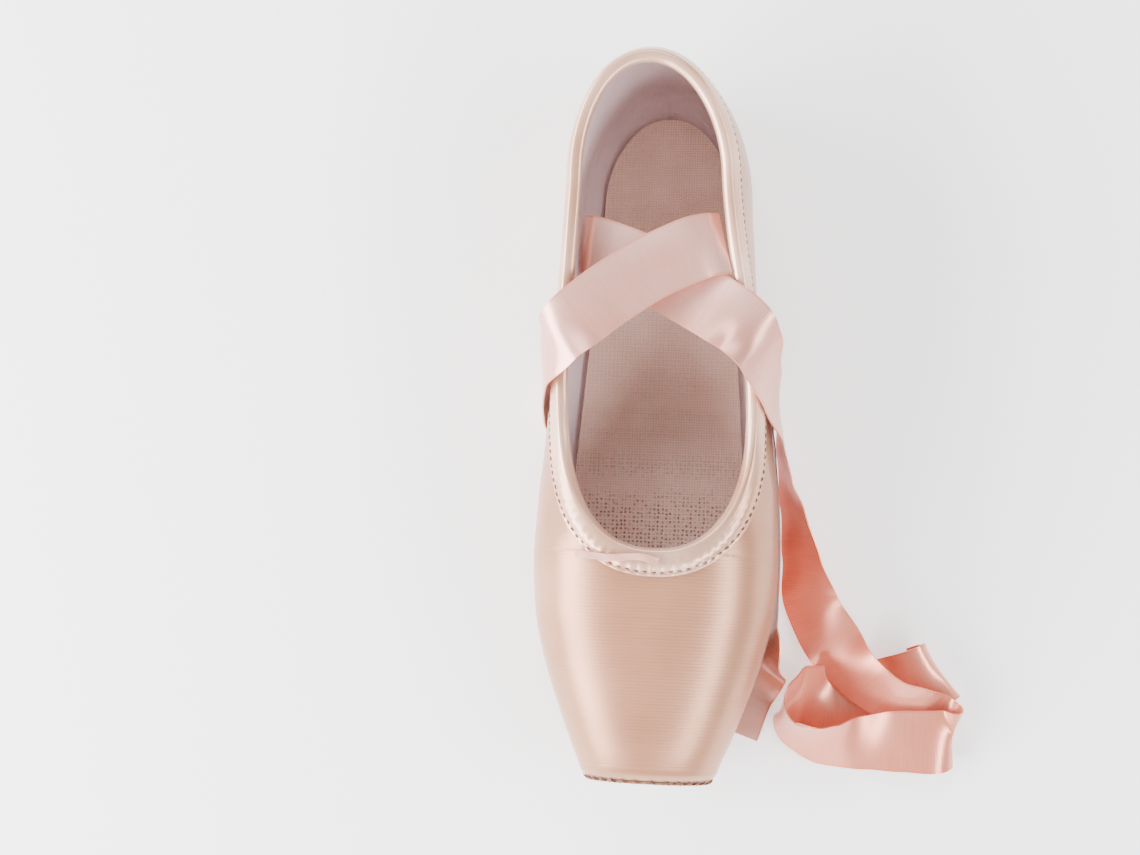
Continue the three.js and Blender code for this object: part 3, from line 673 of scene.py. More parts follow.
def hide(name, light, deep, grain_mm, bump, roughness, nap):
    """Leather or suede: a mottled tone and a fine grain; more nap gives more sheen and specks."""
    material, tree, shader = new_material(name, Roughness=roughness, Sheen_Weight=nap * 0.4)
    at = add_node(tree, COORDINATES, "Object", {})
    # The mottling is about 17 mm across
    broad = add_node(tree, NOISE, "Fac", {"Vector": at, "Scale": 60.0, "Detail": 6.0, "Roughness": 0.65})
    fine = {"Vector": at, "Scale": 1 / (grain_mm * MM), "Detail": 4.0, "Roughness": 0.7}
    grain = add_node(tree, NOISE, "Fac", fine)
    tone = add_node(tree, RAMP, "Color", {"Fac": broad}, stops=((0.3, linear(deep)), (0.72, linear(light))))
    speck = (1 - 0.6 * nap,) * 3 + (1,)
    fleck = add_node(tree, RAMP, "Color", {"Fac": grain}, stops=((0.36, speck), (0.56, WHITE)))
    colour = add_node(tree, BLEND, 2, {0: 1.0, 6: tone, 7: fleck}, MULTIPLIED)
    normal = add_node(tree, BUMP, "Normal", {"Height": grain, "Strength": bump, "Distance": 0.0003})
    tree.links.new(colour, shader.inputs["Base Color"])
    tree.links.new(normal, shader.inputs["Normal"])
    return material


def thread(name, light, deep):
    """Sewing thread: twisted plies, with a small soft shine."""
    material, tree, shader = new_material(name, Roughness=0.5, Sheen_Weight=0.2)
    at = add_node(tree, COORDINATES, "Object", {})
    twist = {"Vector": at, "Scale": WAVE_PITCH / (PLY_MM * MM)}
    ply = add_node(tree, WAVE, "Fac", twist, (("bands_direction", "DIAGONAL"),))
    tone = add_node(tree, RAMP, "Color", {"Fac": ply}, stops=((0.1, linear(deep)), (0.8, linear(light))))
    tree.links.new(tone, shader.inputs["Base Color"])
    return material


MATERIALS = {}


def make_materials(tones):
    """All the finishes of the shoe. Every weave and grain is drawn coarser than real, to show."""
    m = MATERIALS
    # Duchess satin, heavy and stretched over the last: a broad bright band with soft ends
    m["satin"] = satin("duchess_satin_upper", tones.satin, tones.satin_deep, 1.1, 0.3, 0.37)
    # The same cloth turned round the collar, its weft lines across the fold: bright and narrow bands
    m["casing"] = satin("duchess_satin_casing", tones.casing, tones.satin, 0.9, 0.2, 0.33, "X")
    # Ribbon satin, thin and smooth: sharper gloss on each bend, and a dull selvage
    m["ribbon"] = satin("satin_ribbon", tones.ribbon, tones.ribbon_deep, 0.9, 0.12, 0.3, half_mm=11.0)
    # Cotton drill, close and matt: an even pale surface without a highlight
    m["lining"] = woven("cotton_drill_lining", tones.lining, tones.lining_deep, 0.7, 0.25, 0.85, laid=True)
    # Cotton twill on the insole: rougher threads that catch small shadows, and dots in its weave
    m["insole"] = woven("cotton_twill_insole", tones.insole, tones.insole_deep, 0.9, 0.6, 0.8, 1.45)
    # Woven cotton tape: flat and dull beside the satin
    m["tape"] = woven("cotton_tape", "#EBAE9F", "#D98F7E", 0.5, 0.3, 0.7)
    # Split leather, buffed and not glazed: a dry brown with faint mottling
    m["sole"] = hide("split_leather_sole", tones.sole, tones.sole_deep, 0.6, 0.35, 0.72, 0.35)
    # Suede, brushed to a nap: soft and shadowless, with dark specks where the fibres part
    m["suede"] = hide("suede_platform", tones.suede, tones.suede_deep, 0.5, 0.6, 0.95, 0.8)
    # Mercerised cotton thread: swollen smooth fibres with a small glint on every stitch. Its dark brown is
    # partly the thread's own colour and partly painted shade in and between the stitches
    m["thread"] = thread("mercerised_thread", "#94594A", "#4E281F")
    # Waxed thread: the same twist, darker
    m["dark_thread"] = thread("waxed_thread", "#8A4632", "#4A2218")


# Upper
OPEN_START = 26.0
OPEN_ROUND = 16.0
OPEN_SHARE = 0.62

# Pleats drawn in under the toe: their size, the k they run between, and the station they fan from
PLEAT_DEEP = 0.55
PLEAT_PITCH = 4.4
PLEAT_LOW = -0.97
PLEAT_HIGH = -0.45
PLEAT_FAN = 30.0
PLEAT_END = 62.0

# Soft marks of wear and lasting: station, k, side, reach along, reach around, height
CREASES = (
    (84, 0.62, -1, 14, 0.22, -0.45),
    (90, 0.60, 1, 15, 0.24, -0.4),
    (118, 0.25, 1, 24, 0.2, 0.35),
    (126, 0.30, -1, 22, 0.22, 0.35),
    (150, 0.05, -1, 26, 0.3, -0.4),
    (158, 0.10, 1, 24, 0.3, -0.4),
    (206, 0.35, -1, 9, 0.3, 0.3),
    (222, 0.45, 1, 9, 0.3, -0.3),
)
SEAM_AT_COLLAR = 128.0
SEAM_AT_SOLE = 112.0
SEAM_WIDE = 0.9
SEAM_REACH = 3.0
BACK_SEAM = 238.0  # from this station on, the back seam is near
HEEL_RUN = 0.8  # millimetres round the heel for one of its stations
PUCKER = 0.1
UNDER_CASING = 0.7  # above this k the casing covers the satin
UNDER_CASING_MOST = 0.2
SATIN_FRONT = 2.4  # nearer the platform than this, every face is satin


def open_half(back):
    """Half width of the opening under the upper, which the outsole closes."""
    if back <= OPEN_START:
        return 0.0
    rounding = quarter(max(1 - (back - OPEN_START) / OPEN_ROUND, 0.0), 2)
    return OPEN_SHARE * along("sole", back) * rounding


def seam(away, deep, lip):
    """A sewn seam: a groove with a soft lip beside it."""
    return lip * hump((away - 1.5) / 1.2) - deep * hump(away / SEAM_WIDE)


def pleats(back, k, side):
    """Folds of the satin drawn in under the toe."""
    if not PLEAT_LOW < k < PLEAT_HIGH or back >= PLEAT_END:
        return 0.0
    run = math.pi / 2 * PLEAT_FAN + (back - PLEAT_FAN)
    if back < PLEAT_FAN:
        run = math.atan2(abs(last_point(back, k, side).x), PLEAT_FAN - back) * PLEAT_FAN
    fold = abs(math.sin(math.pi * run / PLEAT_PITCH)) ** 0.7 - 0.6
    around = smooth((k - PLEAT_LOW) / 0.12) * smooth((PLEAT_HIGH - k) / 0.28)
    return PLEAT_DEEP * fold * around * smooth((PLEAT_END - back) / 22)


def relief(back, k, side):
    """How far the satin stands out from the last, in millimetres."""
    out = pleats(back, k, side)
    for at, kk, s, reach, around, height in CREASES:
        if s == side and abs(back - at) < reach and abs(k - kk) < around:
            out += height * hump((back - at) / reach) * hump((k - kk) / around)
    away = abs(back - mix(SEAM_AT_SOLE, SEAM_AT_COLLAR, (k + 1) / 2))
    if away < SEAM_REACH:
        out += seam(away, 0.35, 0.16)
    if back > BACK_SEAM:
        out += seam((LENGTH - back) * HEEL_RUN, 0.3, 0.15)
    if back > THROAT and k > 0.2:
        pucker = math.sin(back * 2.1) + 0.6 * math.sin(back * 3.7 + 1)
        out += PUCKER * pucker * smooth((k - 0.2) / 0.5)
        if k > UNDER_CASING:
            out = min(out, UNDER_CASING_MOST)
    return out


def make_upper():
    """Upper with its toe box: satin outside, lining inside, one wall."""
    ladder = [-1 + i / 32 for i in range(33)] + [(i + 1) / 26 for i in range(26)]
    backs = [0.0, 0.0, 0.7, 1.5, 2.6, 3.8, BOX_FLOOR] + stations(BOX_FLOOR, THROAT, 52)
    backs += stations(THROAT, HEEL_START, 80, 1.15) + stations(HEEL_START, LENGTH, 44)
    halves = []
    for side in (-1, 1):
        rows = []
        for back in backs:
            gap = open_half(back)
            outer = [last_point(back, k, side, -relief(back, k, side), gap) for k in ladder]
            deep = max(back, BOX_FLOOR)
            wall = wall_at(deep)
            if back > BACK_SEAM:
                wall += 0.35 * hump((LENGTH - back) * HEEL_RUN)
            inner = [last_point(deep, k, side, wall, open_half(deep)) for k in ladder]
            rows.append(outer + inner[::-1] + [outer[0].copy()])
        # The first row closes the platform on the middle plane
        rows[0] = [Vector((0, p.y, p.z)) for p in rows[0]]
        halves.append(sheet_of("upper_half", rows, closed=False))
    choose(*halves)
    bpy.ops.object.join()
    piece = bpy.context.object
    piece.name = "upper_satin"
    drop_inner_walls(piece)
    bpy.ops.mesh.select_all(action="SELECT")
    bpy.ops.mesh.remove_doubles(threshold=0.03 * MM)
    turn_outwards()
    finish_piece(piece, "satin", 38, ("upper",))
    piece.data.materials.append(MATERIALS["lining"])
    line_the_inside(piece)


def drop_inner_walls(piece):
    """Opens the piece and takes out its faces on the middle plane, where the halves join."""
    bpy.ops.object.mode_set(mode="EDIT")
    mesh = bmesh.from_edit_mesh(piece.data)
    gone = [face for face in mesh.faces if all(abs(v.co.x) < 0.001 * MM for v in face.verts)]
    bmesh.ops.delete(mesh, geom=gone, context="FACES")
    bmesh.update_edit_mesh(piece.data)


def line_the_inside(piece):
    """Gives the lining to the faces that look into the shoe."""
    for face in piece.data.polygons:
        c = face.center / MM
        back, reach = section_under(c.x - lean(c.y + LENGTH / 2, c.z), c.y)
        half, under, wide, crown = section(back, wall_at(max(back, BOX_FLOOR)) * 0.5)[:4]
        power = TOP_CURVE if c.z > wide else LOW_CURVE
        rise = (crown - wide) if c.z > wide else (wide - under)
        inside = (reach / half) ** power + (abs(c.z - wide) / rise) ** power < 1
        if inside and c.y > -LENGTH / 2 + SATIN_FRONT:
            face.material_index = 1


# Collar casing
CASING_DOWN = 7.5
CASING_DOWN_INSIDE = 6.5
CASING_THICK = 0.9
CASING_PUFF = 0.6
CASING_TOP = 1.6
CASING_BED = 0.5
CASING_FLOOR = 0.75  # room over the upper's own edge, inside the fold
CASING_ROWS = 640
GATHER_MM = 2.9
GATHER_DEEP = 0.15
COLLAR_RUN = 450.0  # round the whole collar
TIGHT_CURVE = 92.0  # the collar bends most between the throat and here
STITCH_LENGTH = 1.7
STITCH_PITCH = 2.7
STITCH_THICK = 0.6
STITCH_LINE = 1.35  # above the casing's lower edge


def collar_loop(count):
    """Even points of the collar's edge, from the throat by -X to the heel and back by +X."""
    backs = [THROAT] + stations(THROAT, TIGHT_CURVE, 24, 2.2)
    backs += stations(TIGHT_CURVE, HEEL_START, 60) + stations(HEEL_START, LENGTH, 30)
    left = [(b, last_point(b, 1, -1)) for b in backs]
    right = [(b, last_point(b, 1, 1)) for b in backs]
    loop = left + right[-2::-1]
    runs = run_along([p for _, p in loop])
    out = []
    i = 0
    for n in range(count):
        want = runs[-1] * n / count
        while runs[i + 1] < want:
            i += 1
        t = (want - runs[i]) / (runs[i + 1] - runs[i])
        out.append((mix(loop[i][0], loop[i + 1][0], t), loop[i][1].lerp(loop[i + 1][1], t), want))
    frames = []
    for n, (back, p, run) in enumerate(out):
        ahead, behind = out[(n + 3) % count][1], out[n - 3][1]
        tangent = (ahead - behind).normalized()
        normal = slope_at(p).normalized()
        frames.append((back, p, normal, tangent.cross(normal).normalized(), tangent, run))
    return frames, runs[-1]


def near_collar(at, down, out):
    """A point near the collar: down along the wall from its edge, out from its outside."""
    p, normal, over = at[1:4]
    q = p - over * down
    if down <= 0:
        return q + normal * out
    q = onto_last(q)
    return q + slope_at(q).normalized() * out


def gather(run, down, total):
    """Small puckers that the drawstring pulls into the casing, strongest at the throat."""
    near = min(run, total - run)
    strong = mix(0.32, 1.0, smooth(1 - near / 80))
    wobble = 0.9 * math.sin(run * 0.37) + 0.6 * math.sin(run * 0.83 + 1.3)
    wave = math.sin(2 * math.pi * run / GATHER_MM + wobble)
    soft = 0.4 * math.sin(2 * math.pi * run / 7.3 + 1.7 * wobble)
    return GATHER_DEEP * strong * (wave + soft) * smooth(down / 5)


def make_casing():
    """Satin casing folded over the collar's edge, gathered on its drawstring."""
    frames, total = collar_loop(CASING_ROWS)
    rows = []
    for at in frames:
        lining = -wall_at(at[0]) - CASING_BED
        middle = (GAP + lining) / 2
        skin = GAP + CASING_THICK
        rear = lining - CASING_THICK
        # Down from the collar's edge and out from the wall: outer face, top, inner face, and back
        fold = (
            (CASING_DOWN, GAP),
            (CASING_DOWN + 0.1, skin - 0.55),
            (CASING_DOWN - 0.5, skin - 0.15),
            (CASING_DOWN - 1.3, skin - 0.5),
            (CASING_DOWN - 2.2, skin + 0.15),
            (CASING_DOWN * 0.5, skin + CASING_PUFF),
            (CASING_DOWN * 0.3, skin + CASING_PUFF * 0.8),
            (0.6, skin + CASING_PUFF * 0.4),
            (-CASING_TOP * 0.45, skin),
            (-CASING_TOP * 0.82, skin - 0.6),
            (-CASING_TOP, middle),
            (-CASING_TOP * 0.82, rear + 0.6),
            (-CASING_TOP * 0.45, rear),
            (0.6, rear - CASING_PUFF * 0.5),
            (CASING_DOWN_INSIDE * 0.5, rear - CASING_PUFF * 0.5),
            (CASING_DOWN_INSIDE, rear + 0.3),
            (CASING_DOWN_INSIDE, lining),
            (CASING_DOWN_INSIDE * 0.5, lining),
            (0.5, lining),
            (-CASING_FLOOR, lining),
            (-CASING_FLOOR, GAP),
            (0.5, GAP),
            (CASING_DOWN * 0.5, GAP),
        )
        row = []
        for down, out in fold:
            if out > GAP + 0.1:
                out += gather(at[5], down, total)
            row.append(near_collar(at, down, out))
        row.append(row[0].copy())
        rows.append(row)
    rows.append([p.copy() for p in rows[0]])
    piece = sheet_of("collar_casing_satin", rows)
    apply_modifier(piece, "SUBSURF", levels=1, render_levels=1)
    finish_piece(piece, "casing", 60, ("collar_casing",))


def make_casing_stitches():
    """The row of stitches that closes the casing, on its outside."""
    frames, _ = collar_loop(int(round(COLLAR_RUN / STITCH_PITCH)))
    spots = []
    for at in frames:
        wobble = 0.12 * math.sin(at[5] * 1.7)
        p = near_collar(at, CASING_DOWN - STITCH_LINE + wobble, GAP + CASING_THICK - 0.1)
        spots.append(frame_at(p, at[4], at[2]))
    piece = copies("casing_stitches", stitch_shape(STITCH_LENGTH, STITCH_THICK), spots)
    finish_piece(piece, "thread", 60)


# Sole, insole and platform
SOLE_START = 15.0
SOLE_END = 232.0
GROOVE_SHARE = 0.66  # of the way across, where the sole's groove runs
SOLE_STITCHES = 58
SOLE_STITCH_FROM = 26.0
SOLE_STITCH_SPAN = 190.0
SOLE_STITCH_SHARE = 0.742  # of the sole's half width
INSOLE_START = 18.0
INSOLE_SHARE = 0.78
INSOLE_HEEL = INSOLE_SHARE * (LENGTH - HEEL_START - QUARTER_WALL * STRETCH)
INSOLE_END = HEEL_START + INSOLE_HEEL
INSOLE_THICK = 1.3
INSOLE_LIFT = 0.8  # over the inner face of the upper
PLATE_COLUMNS = 60
PATCH_THICK = 0.9
PATCH_SHARE = 0.96
PATCH_CORNERS = 120
PLATFORM_MIDDLE = Vector((0, 0, 21))
PATCH_EDGE = 0.25
DARNING_STITCHES = 64


def rounded_half(half, back, start, end, toe, heel):
    """A plan's half width with its two ends rounded off."""
    front = quarter(max(1 - (back - start) / toe, 0.0), 2)
    rear = quarter(max(1 - (end - back) / heel, 0.0), 2)
    return max(half * front * rear, 0.25)


def make_plate(name, outline, backs, top_at, bottom_at):
    """A thin plate under or in the last, from its outline and the heights of its two faces."""
    shares = [2 * j / PLATE_COLUMNS - 1 for j in range(PLATE_COLUMNS + 1)]
    rows = []
    for back in backs:
        y = back - LENGTH / 2
        xs = [outline(back) * math.sin(share * math.pi / 2) for share in shares]
        top = [Vector((x, y, top_at(x, y, share))) for x, share in zip(xs, shares)]
        low = [Vector((x, y, bottom_at(x, y, share))) for x, share in zip(xs, shares)]
        rows.append(top + low[::-1] + [top[0].copy()])
    piece = sheet_of(name, rows)
    # Its two short ends are still open
    choose(piece)
    bpy.ops.object.mode_set(mode="EDIT")
    bpy.ops.mesh.select_all(action="DESELECT")
    bpy.ops.mesh.select_non_manifold()
    bpy.ops.mesh.edge_face_add()
    turn_outwards()
    return piece


def sole_outline(back):
    """Half width of the outsole."""
    return rounded_half(along("sole", back), back, SOLE_START, SOLE_END, 14, 30)


def sole_top(x, y, share):
    """Top of the outsole, close under the upper."""
    return underside(x, y, 0) - GAP


def sole_bottom(x, y, share):
    """Underside of the outsole, with its skived edge and its groove."""
    flat = along("under", y + LENGTH / 2) - GAP - SOLE_THICK
    flat += 0.8 * smooth((abs(share) - 0.9) / 0.1)
    flat += 0.45 * hump((abs(share) - GROOVE_SHARE) / 0.04)
    return max(flat, underside(x, y, 0) - GAP - 3)


def make_outsole():
    """Thin split-leather outsole with its stitches."""
    backs = [SOLE_START + 0.2] + stations(SOLE_START, 30, 14, 1.6)
    backs += stations(30, 210, 100) + stations(210, SOLE_END, 24, 1.6, rear=True)
    piece = make_plate("outsole_leather", sole_outline, backs, sole_top, sole_bottom)
    finish_piece(piece, "sole", 40, ("outsole",))
    spots = []
    for i in range(SOLE_STITCHES):
        back = SOLE_STITCH_FROM + SOLE_STITCH_SPAN * i / (SOLE_STITCHES - 1)
        for side in (-1, 1):
            x, ahead = [side * SOLE_STITCH_SHARE * sole_outline(b) for b in (back, back + 1)]
            y = back - LENGTH / 2
            z = sole_bottom(x, y, GROOVE_SHARE) + 0.15
            spots.append(frame_at(Vector((x, y, z)), Vector((ahead - x, 1, 0)), Vector((0, 0, -1))))
    piece = copies("sole_stitches", stitch_shape(2.2, 0.5), spots)
    finish_piece(piece, "dark_thread", 60)


def insole_outline(back):
    """Half width of the insole."""
    inside = along("half", min(back, HEEL_START)) - wall_at(back)
    return rounded_half(INSOLE_SHARE * inside, back, INSOLE_START, INSOLE_END, 16, INSOLE_HEEL)


def insole_floor(x, y, share=0.0):
    """Underside of the insole."""
    return underside(x, y, wall_at(y + LENGTH / 2)) + INSOLE_LIFT


def insole_top(x, y, share):
    """Top of the insole: a soft rolled edge and a slight hollow where the foot presses."""
    edge = insole_floor(insole_outline(y + LENGTH / 2), y) + INSOLE_THICK
    roll = 0.9 * smooth((abs(share) - 0.93) / 0.07)
    hollow = 0.5 * hump((y - 88) / 32) * hump(share / 0.9)
    return edge - roll - hollow


def make_insole():
    """Insole with its woven cover."""
    backs = [INSOLE_START + 0.2] + stations(INSOLE_START, 34, 12, 1.6)
    backs += stations(34, HEEL_START, 90) + stations(HEEL_START, INSOLE_END, 32, 1.6, rear=True)
    piece = make_plate("insole_cloth", insole_outline, backs, insole_top, insole_floor)
    finish_piece(piece, "insole", 40, ("insole",))


def platform_point(angle, share):
    """A point of the platform's outline, drawn in to a share."""
    half, under, wide, crown = LAST[0][1:]
    up = math.sin(angle) > 0
    power = 2 / (TOP_CURVE if up else LOW_CURVE)
    rise = crown - wide if up else wide - under
    x = half * math.copysign(abs(math.cos(angle)) ** power, math.cos(angle))
    z = rise * math.copysign(abs(math.sin(angle)) ** power, math.sin(angle))
    return Vector((x * share, 0, z * share + wide))


def make_toe_patch():
    """Suede patch glued on the platform, and the darning round its edge."""
    choose()
    bpy.ops.mesh.primitive_circle_add(vertices=PATCH_CORNERS, radius=1, fill_type="NGON")
    piece = bpy.context.object
    piece.name = "platform_suede"
    for i, v in enumerate(piece.data.vertices):
        p = platform_point(2 * math.pi * i / PATCH_CORNERS, PATCH_SHARE)
        v.co = Vector((p.x, -LENGTH / 2 - GAP, p.z)) * MM
    edit_all()
    move = {"value": (0, (PATCH_EDGE - PATCH_THICK) * MM, 0)}
    bpy.ops.mesh.extrude_region_move(TRANSFORM_OT_translate=move)
    # Insets of the face: how far in, and how far out it then moves
    for width, rise in ((PATCH_EDGE, -0.2), (0.8, -0.05), (2.4, 0.0), (3.2, 0.0)):
        bpy.ops.mesh.inset(thickness=width * MM, depth=0)
        bpy.ops.transform.translate(value=(0, rise * MM, 0))
    turn_outwards()
    finish_piece(piece, "suede", 50, ("toe_patch",))
    spots = []
    for i in range(DARNING_STITCHES):
        a = 2 * math.pi * i / DARNING_STITCHES
        p = platform_point(a, 0.985)
        q = platform_point(a + 0.06 * (1 if i % 2 else -1), 1.035)
        p.y = -LENGTH / 2 - 1.0
        q.y = -LENGTH / 2 - 0.1
        middle = (p + q) / 2
        out = (middle - PLATFORM_MIDDLE).normalized() + Vector((0, -0.8, 0))
        spots.append(frame_at(middle, q - p, out))
    piece = copies("platform_stitches", stitch_shape(2.6, 0.62), spots)
    finish_piece(piece, "dark_thread", 60)


# Ribbons and drawstring
FLOOR_ROOM = 0.6  # from the floor to a ribbon's middle
RIBBON_ROWS = 520
RIBBON_COLUMNS = 12
RIBBON_THICK = 0.45
LEFT_CUP = 0.5
RIGHT_CUP = 0.2
STRING_ROWS = 60
STRING_THICK = 0.5
LOOSE_FROM = 110.0  # along a ribbon, past the collar
LOOSE_GAP = 0.7  # least room between a loose ribbon's middle and the upper
FLANK_LOW = 12.0  # above this height the upper's flank stands upright


def ribbon_rows(route, wide, wave):
    """Rows across a ribbon along its route, kept square to its run, with a soft cupping."""
    table = [Vector(r[:3]) for r in route]
    middles = spline(table, RIBBON_ROWS)
    runs = run_along(table)
    rows = []
    for i, p in enumerate(middles):
        at = i / (RIBBON_ROWS - 1) * runs[-1]
        j = 0
        while j < len(runs) - 2 and runs[j + 1] < at:
            j += 1
        t = smooth((at - runs[j]) / (runs[j + 1] - runs[j]))
        across = Vector(route[j][3:]).lerp(Vector(route[j + 1][3:]), t)
        run = direction_at(middles, i)
        across = (across - run * across.dot(run)).normalized()
        up = across.cross(run).normalized()
        row = []
        for c in range(RIBBON_COLUMNS + 1):
            w = 2 * c / RIBBON_COLUMNS - 1
            cup = wave * (math.sin(at * 0.11 + 1.3 * w) * 0.6 + math.sin(at * 0.047 + 2.1) * (w * w - 0.4))
            row.append(p + across * (w * wide / 2) + up * cup)
        rows.append(row)
    for _ in range(3):
        for i in range(1, RIBBON_ROWS - 1):
            for c in range(RIBBON_COLUMNS + 1):
                rows[i][c] = (rows[i - 1][c] + rows[i][c] * 2 + rows[i + 1][c]) / 4
    for i, row in enumerate(rows):
        if i / (RIBBON_ROWS - 1) * runs[-1] > LOOSE_FROM:
            for p in (q for q in row if q.z > FLANK_LOW):
                slope = slope_at(p)
                away = outside(p) / slope.length
                if away < LOOSE_GAP:
                    p += slope.normalized() * (LOOSE_GAP - away)
        lift = max(0.0, FLOOR_ROOM - min(p.z for p in row))
        for p in row:
            p.z += lift
    return rows


def make_ribbon(name, route, wide, cup, replaced):
    """One satin ribbon: a sheet draped over the collar and down to the floor."""
    rows = ribbon_rows(route, wide, cup)
    piece = sheet_of(name, rows, merge=0.001, closed=False)
    apply_modifier(piece, "SOLIDIFY", thickness=RIBBON_THICK * MM, offset=0.0, use_even_offset=False)
    finish_piece(piece, "ribbon", 60, replaced)


def make_drawstring(wide):
    """Free end of the drawstring: a flat tape, softly twisted, on the casing at the throat."""
    middles = spline([Vector(r) for r in DRAWSTRING], STRING_ROWS)
    rows = []
    for i, p in enumerate(middles):
        run = direction_at(middles, i)
        across = Vector((0, 0, 1)).cross(run).normalized()
        twist = 0.25 * math.sin(i * 0.3)
        across = (across + run.cross(across) * twist).normalized()
        rows.append([p + across * (w * wide / 2) for w in (-1, -0.5, 0, 0.5, 1)])
    piece = sheet_of("drawstring_tape", rows, merge=0.001, closed=False)
    apply_modifier(piece, "SOLIDIFY", thickness=STRING_THICK * MM, offset=0.0)
    finish_piece(piece, "tape", 60, ("drawstring",))


# Stage and camera; the camera's place is in millimetres and its turn in radians
CAMERA_PLACE = (8.717, -67.312, 528.94)
CAMERA_TURN = (0.1217, 0.0788, 0.0423)
CAMERA_LENS = 46.42
CAMERA_SENSOR = 36.0
FLOOR_SIDE = 6.0
FLOOR_UNDER = 0.0002  # below the sole, in metres
FLOOR_GLOW = 0.9
PAPER = ((0.3, (0.90, 0.90, 0.90, 1)), (0.7, (0.93, 0.93, 0.93, 1)))
AIR_COLOUR = (1, 0.985, 0.97, 1)
AIR_STRENGTH = 0.36
LIGHTS_AIM = (0, -0.02, 0.02)
# Name, place in metres, watts, and the two sides of the lit panel
LIGHTS = (
    ("left_strip", (-0.85, -0.24, 0.42), 60.0, 1.7, 0.46),
    ("right_strip", (0.80, -0.40, 0.66), 29.0, 2.0, 0.18),
    ("back_soft", (-0.15, 0.85, 0.75), 8.0, 0.8, 0.4),
)


def make_floor():
    """Matt white paper, softly lit from within so that it stays pale."""
    choose()
    bpy.ops.mesh.primitive_plane_add(size=FLOOR_SIDE, location=(0, 0, -FLOOR_UNDER))
    floor = bpy.context.object
    floor.name = "studio_floor"
    bpy.ops.object.transform_apply(location=True, rotation=True, scale=True)
    material, tree, shader = new_material("matt_white_paper", Roughness=0.9, Emission_Strength=FLOOR_GLOW)
    at = add_node(tree, COORDINATES, "Object", {})
    fibre = add_node(tree, NOISE, "Fac", {"Vector": at, "Scale": 900.0})
    tone = add_node(tree, RAMP, "Color", {"Fac": fibre}, stops=PAPER)
    tree.links.new(tone, shader.inputs["Base Color"])
    tree.links.new(tone, shader.inputs["Emission Color"])
    floor.data.materials.append(material)


def make_stage():
    """Pale floor, soft studio light, and the camera."""
    make_floor()
    world = bpy.data.worlds.new("studio_air")
    world.use_nodes = True
    air = world.node_tree.nodes["Background"]
    air.inputs["Color"].default_value = AIR_COLOUR
    air.inputs["Strength"].default_value = AIR_STRENGTH
    bpy.context.scene.world = world
    for name, spot, power, wide, tall in LIGHTS:
        bpy.ops.object.light_add(type="AREA", location=spot)
        light = bpy.context.object
        light.name = name
        light.data.shape = "RECTANGLE"
        light.data.size = wide
        light.data.size_y = tall
        light.data.energy = power
        aim = Vector(LIGHTS_AIM) - Vector(spot)
        light.rotation_euler = aim.to_track_quat("-Z", "Y").to_euler()
    bpy.ops.object.camera_add()
    camera = bpy.context.object
    camera.name = "photo_camera"
    tilt, sway, roll = CAMERA_TURN
    turn = Matrix.Rotation(sway, 4, "Y") @ Matrix.Rotation(tilt, 4, "X") @ Matrix.Rotation(roll, 4, "Z")
    camera.matrix_world = Matrix.Translation(Vector(CAMERA_PLACE) * MM) @ turn
    camera.data.lens = CAMERA_LENS
    camera.data.sensor_width = CAMERA_SENSOR
    camera.data.clip_start = 0.01
    camera.data.dof.use_dof = False
    bpy.context.scene.camera = camera


# Add-on
class POINTE_PG_colours(bpy.types.PropertyGroup):
    """Colours of the shoe, as sRGB hex."""

    satin: StringProperty(name="Satin", description="Lighter satin tone", default="#C48A68")
    satin_deep: StringProperty(name="Satin, deep", description="Deeper satin tone", default="#A9704F")
    casing: StringProperty(name="Casing", description="Collar casing", default="#F0C4AC")
    ribbon: StringProperty(name="Ribbon", description="Lighter ribbon tone", default="#F6C1B5")
    ribbon_deep: StringProperty(name="Ribbon, deep", description="Deeper ribbon tone", default="#E49A87")
    lining: StringProperty(name="Lining", description="Cotton lining", default="#DFCDCF")
    lining_deep: StringProperty(name="Lining, deep", description="Deeper lining tone", default="#CBB5B8")
    insole: StringProperty(name="Insole", description="Insole cover", default="#EDD3C7")
    insole_deep: StringProperty(name="Insole, deep", description="Deeper insole tone", default="#DAB9A9")
    sole: StringProperty(name="Sole", description="Outsole leather", default="#7A4431")
    sole_deep: StringProperty(name="Sole, deep", description="Deeper outsole tone", default="#552A1E")
    suede: StringProperty(name="Suede", description="Platform suede", default="#B8926A")
    suede_deep: StringProperty(name="Suede, deep", description="Deeper suede tone", default="#8E6642")


class POINTE_PG_sizes(bpy.types.PropertyGroup):
    """Sizes of the trim."""

    ribbon_wide: FloatProperty(
        name="Ribbon width",
        description="Width of each ribbon",
        default=0.022,
        unit="LENGTH",
        subtype="DISTANCE",
    )
    string_wide: FloatProperty(
        name="Drawstring width",
        description="Width of the tape",
        default=0.0022,
        unit="LENGTH",
        subtype="DISTANCE",
    )


class POINTE_OT_materials(bpy.types.Operator):
    """Makes the finishes from the colours"""

    bl_idname = "pointe.materials"
    bl_label = "Finishes"

    def execute(self, context):
        make_materials(context.scene.pointe_colours)
        return {"FINISHED"}


class POINTE_OT_upper(bpy.types.Operator):
    """Makes the satin upper with its toe box and lining"""

    bl_idname = "pointe.upper"
    bl_label = "Upper"

    def execute(self, context):
        make_upper()
        return {"FINISHED"}


class POINTE_OT_casing(bpy.types.Operator):
    """Makes the gathered collar casing and its stitches"""

    bl_idname = "pointe.casing"
    bl_label = "Collar casing"

    def execute(self, context):
        make_casing()
        make_casing_stitches()
        return {"FINISHED"}


class POINTE_OT_soles(bpy.types.Operator):
    """Makes the outsole and the insole"""

    bl_idname = "pointe.soles"
    bl_label = "Outsole and insole"

    def execute(self, context):
        make_outsole()
        make_insole()
        return {"FINISHED"}


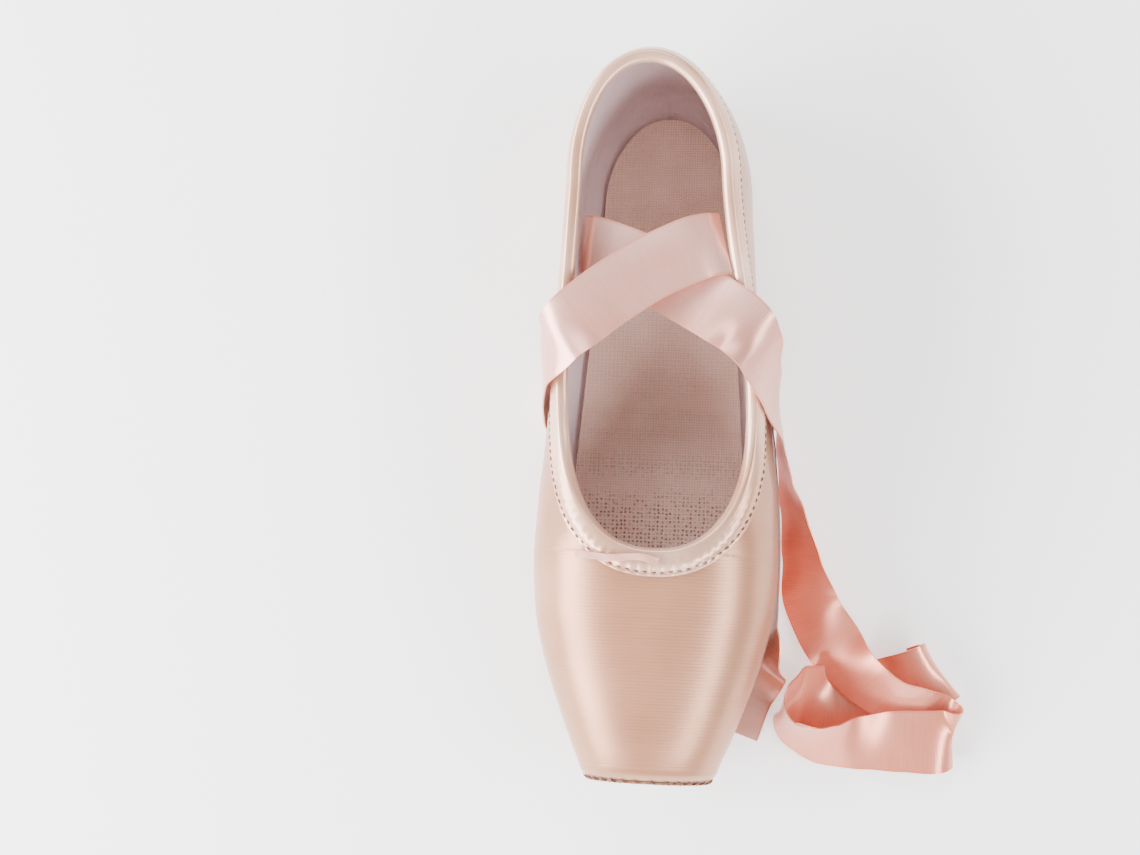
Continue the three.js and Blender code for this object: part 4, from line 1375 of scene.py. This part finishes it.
class POINTE_OT_platform(bpy.types.Operator):
    """Makes the suede patch on the platform and its darning"""

    bl_idname = "pointe.platform"
    bl_label = "Platform patch"

    def execute(self, context):
        make_toe_patch()
        return {"FINISHED"}


class POINTE_OT_ribbons(bpy.types.Operator):
    """Makes the two ribbons and the drawstring's free end"""

    bl_idname = "pointe.ribbons"
    bl_label = "Ribbons and drawstring"

    def execute(self, context):
        sizes = context.scene.pointe_sizes
        wide = sizes.ribbon_wide / MM
        make_ribbon("left_ribbon", LEFT_ROUTE, wide, LEFT_CUP, ("ribbon_left", "ribbon_left_tail"))
        make_ribbon("right_ribbon", RIGHT_ROUTE, wide, RIGHT_CUP, ("ribbon_right", "ribbon_right_tail"))
        make_drawstring(sizes.string_wide / MM)
        return {"FINISHED"}


class POINTE_OT_stage(bpy.types.Operator):
    """Makes the floor, the lights and the camera"""

    bl_idname = "pointe.stage"
    bl_label = "Stage"

    def execute(self, context):
        make_stage()
        return {"FINISHED"}


STEPS = (
    POINTE_OT_materials,
    POINTE_OT_stage,
    POINTE_OT_ribbons,
    POINTE_OT_upper,
    POINTE_OT_casing,
    POINTE_OT_soles,
    POINTE_OT_platform,
)


class POINTE_PT_panel(bpy.types.Panel):
    """Lists the pieces of the shoe"""

    bl_idname = "POINTE_PT_panel"
    bl_label = "Pointe Shoe"
    bl_space_type = "VIEW_3D"
    bl_region_type = "UI"
    bl_category = "Pointe Shoe"

    def draw(self, context):
        for step in STEPS:
            self.layout.operator(step.bl_idname)
        for group in (context.scene.pointe_sizes, context.scene.pointe_colours):
            for name in group.bl_rna.properties.keys():
                if name not in ("rna_type", "name"):
                    self.layout.prop(group, name)


CLASSES = (POINTE_PG_colours, POINTE_PG_sizes, *STEPS, POINTE_PT_panel)


def register():
    """Adds the classes and the settings."""
    for item in CLASSES:
        bpy.utils.register_class(item)
    bpy.types.Scene.pointe_colours = PointerProperty(type=POINTE_PG_colours)
    bpy.types.Scene.pointe_sizes = PointerProperty(type=POINTE_PG_sizes)


def unregister():
    """Takes them away again."""
    del bpy.types.Scene.pointe_sizes
    del bpy.types.Scene.pointe_colours
    for item in reversed(CLASSES):
        bpy.utils.unregister_class(item)


def main():
    """Makes the whole shoe in order."""
    register()
    for step in STEPS:
        group, name = step.bl_idname.split(".")
        getattr(getattr(bpy.ops, group), name)()


if __name__ == "__main__":
    main()
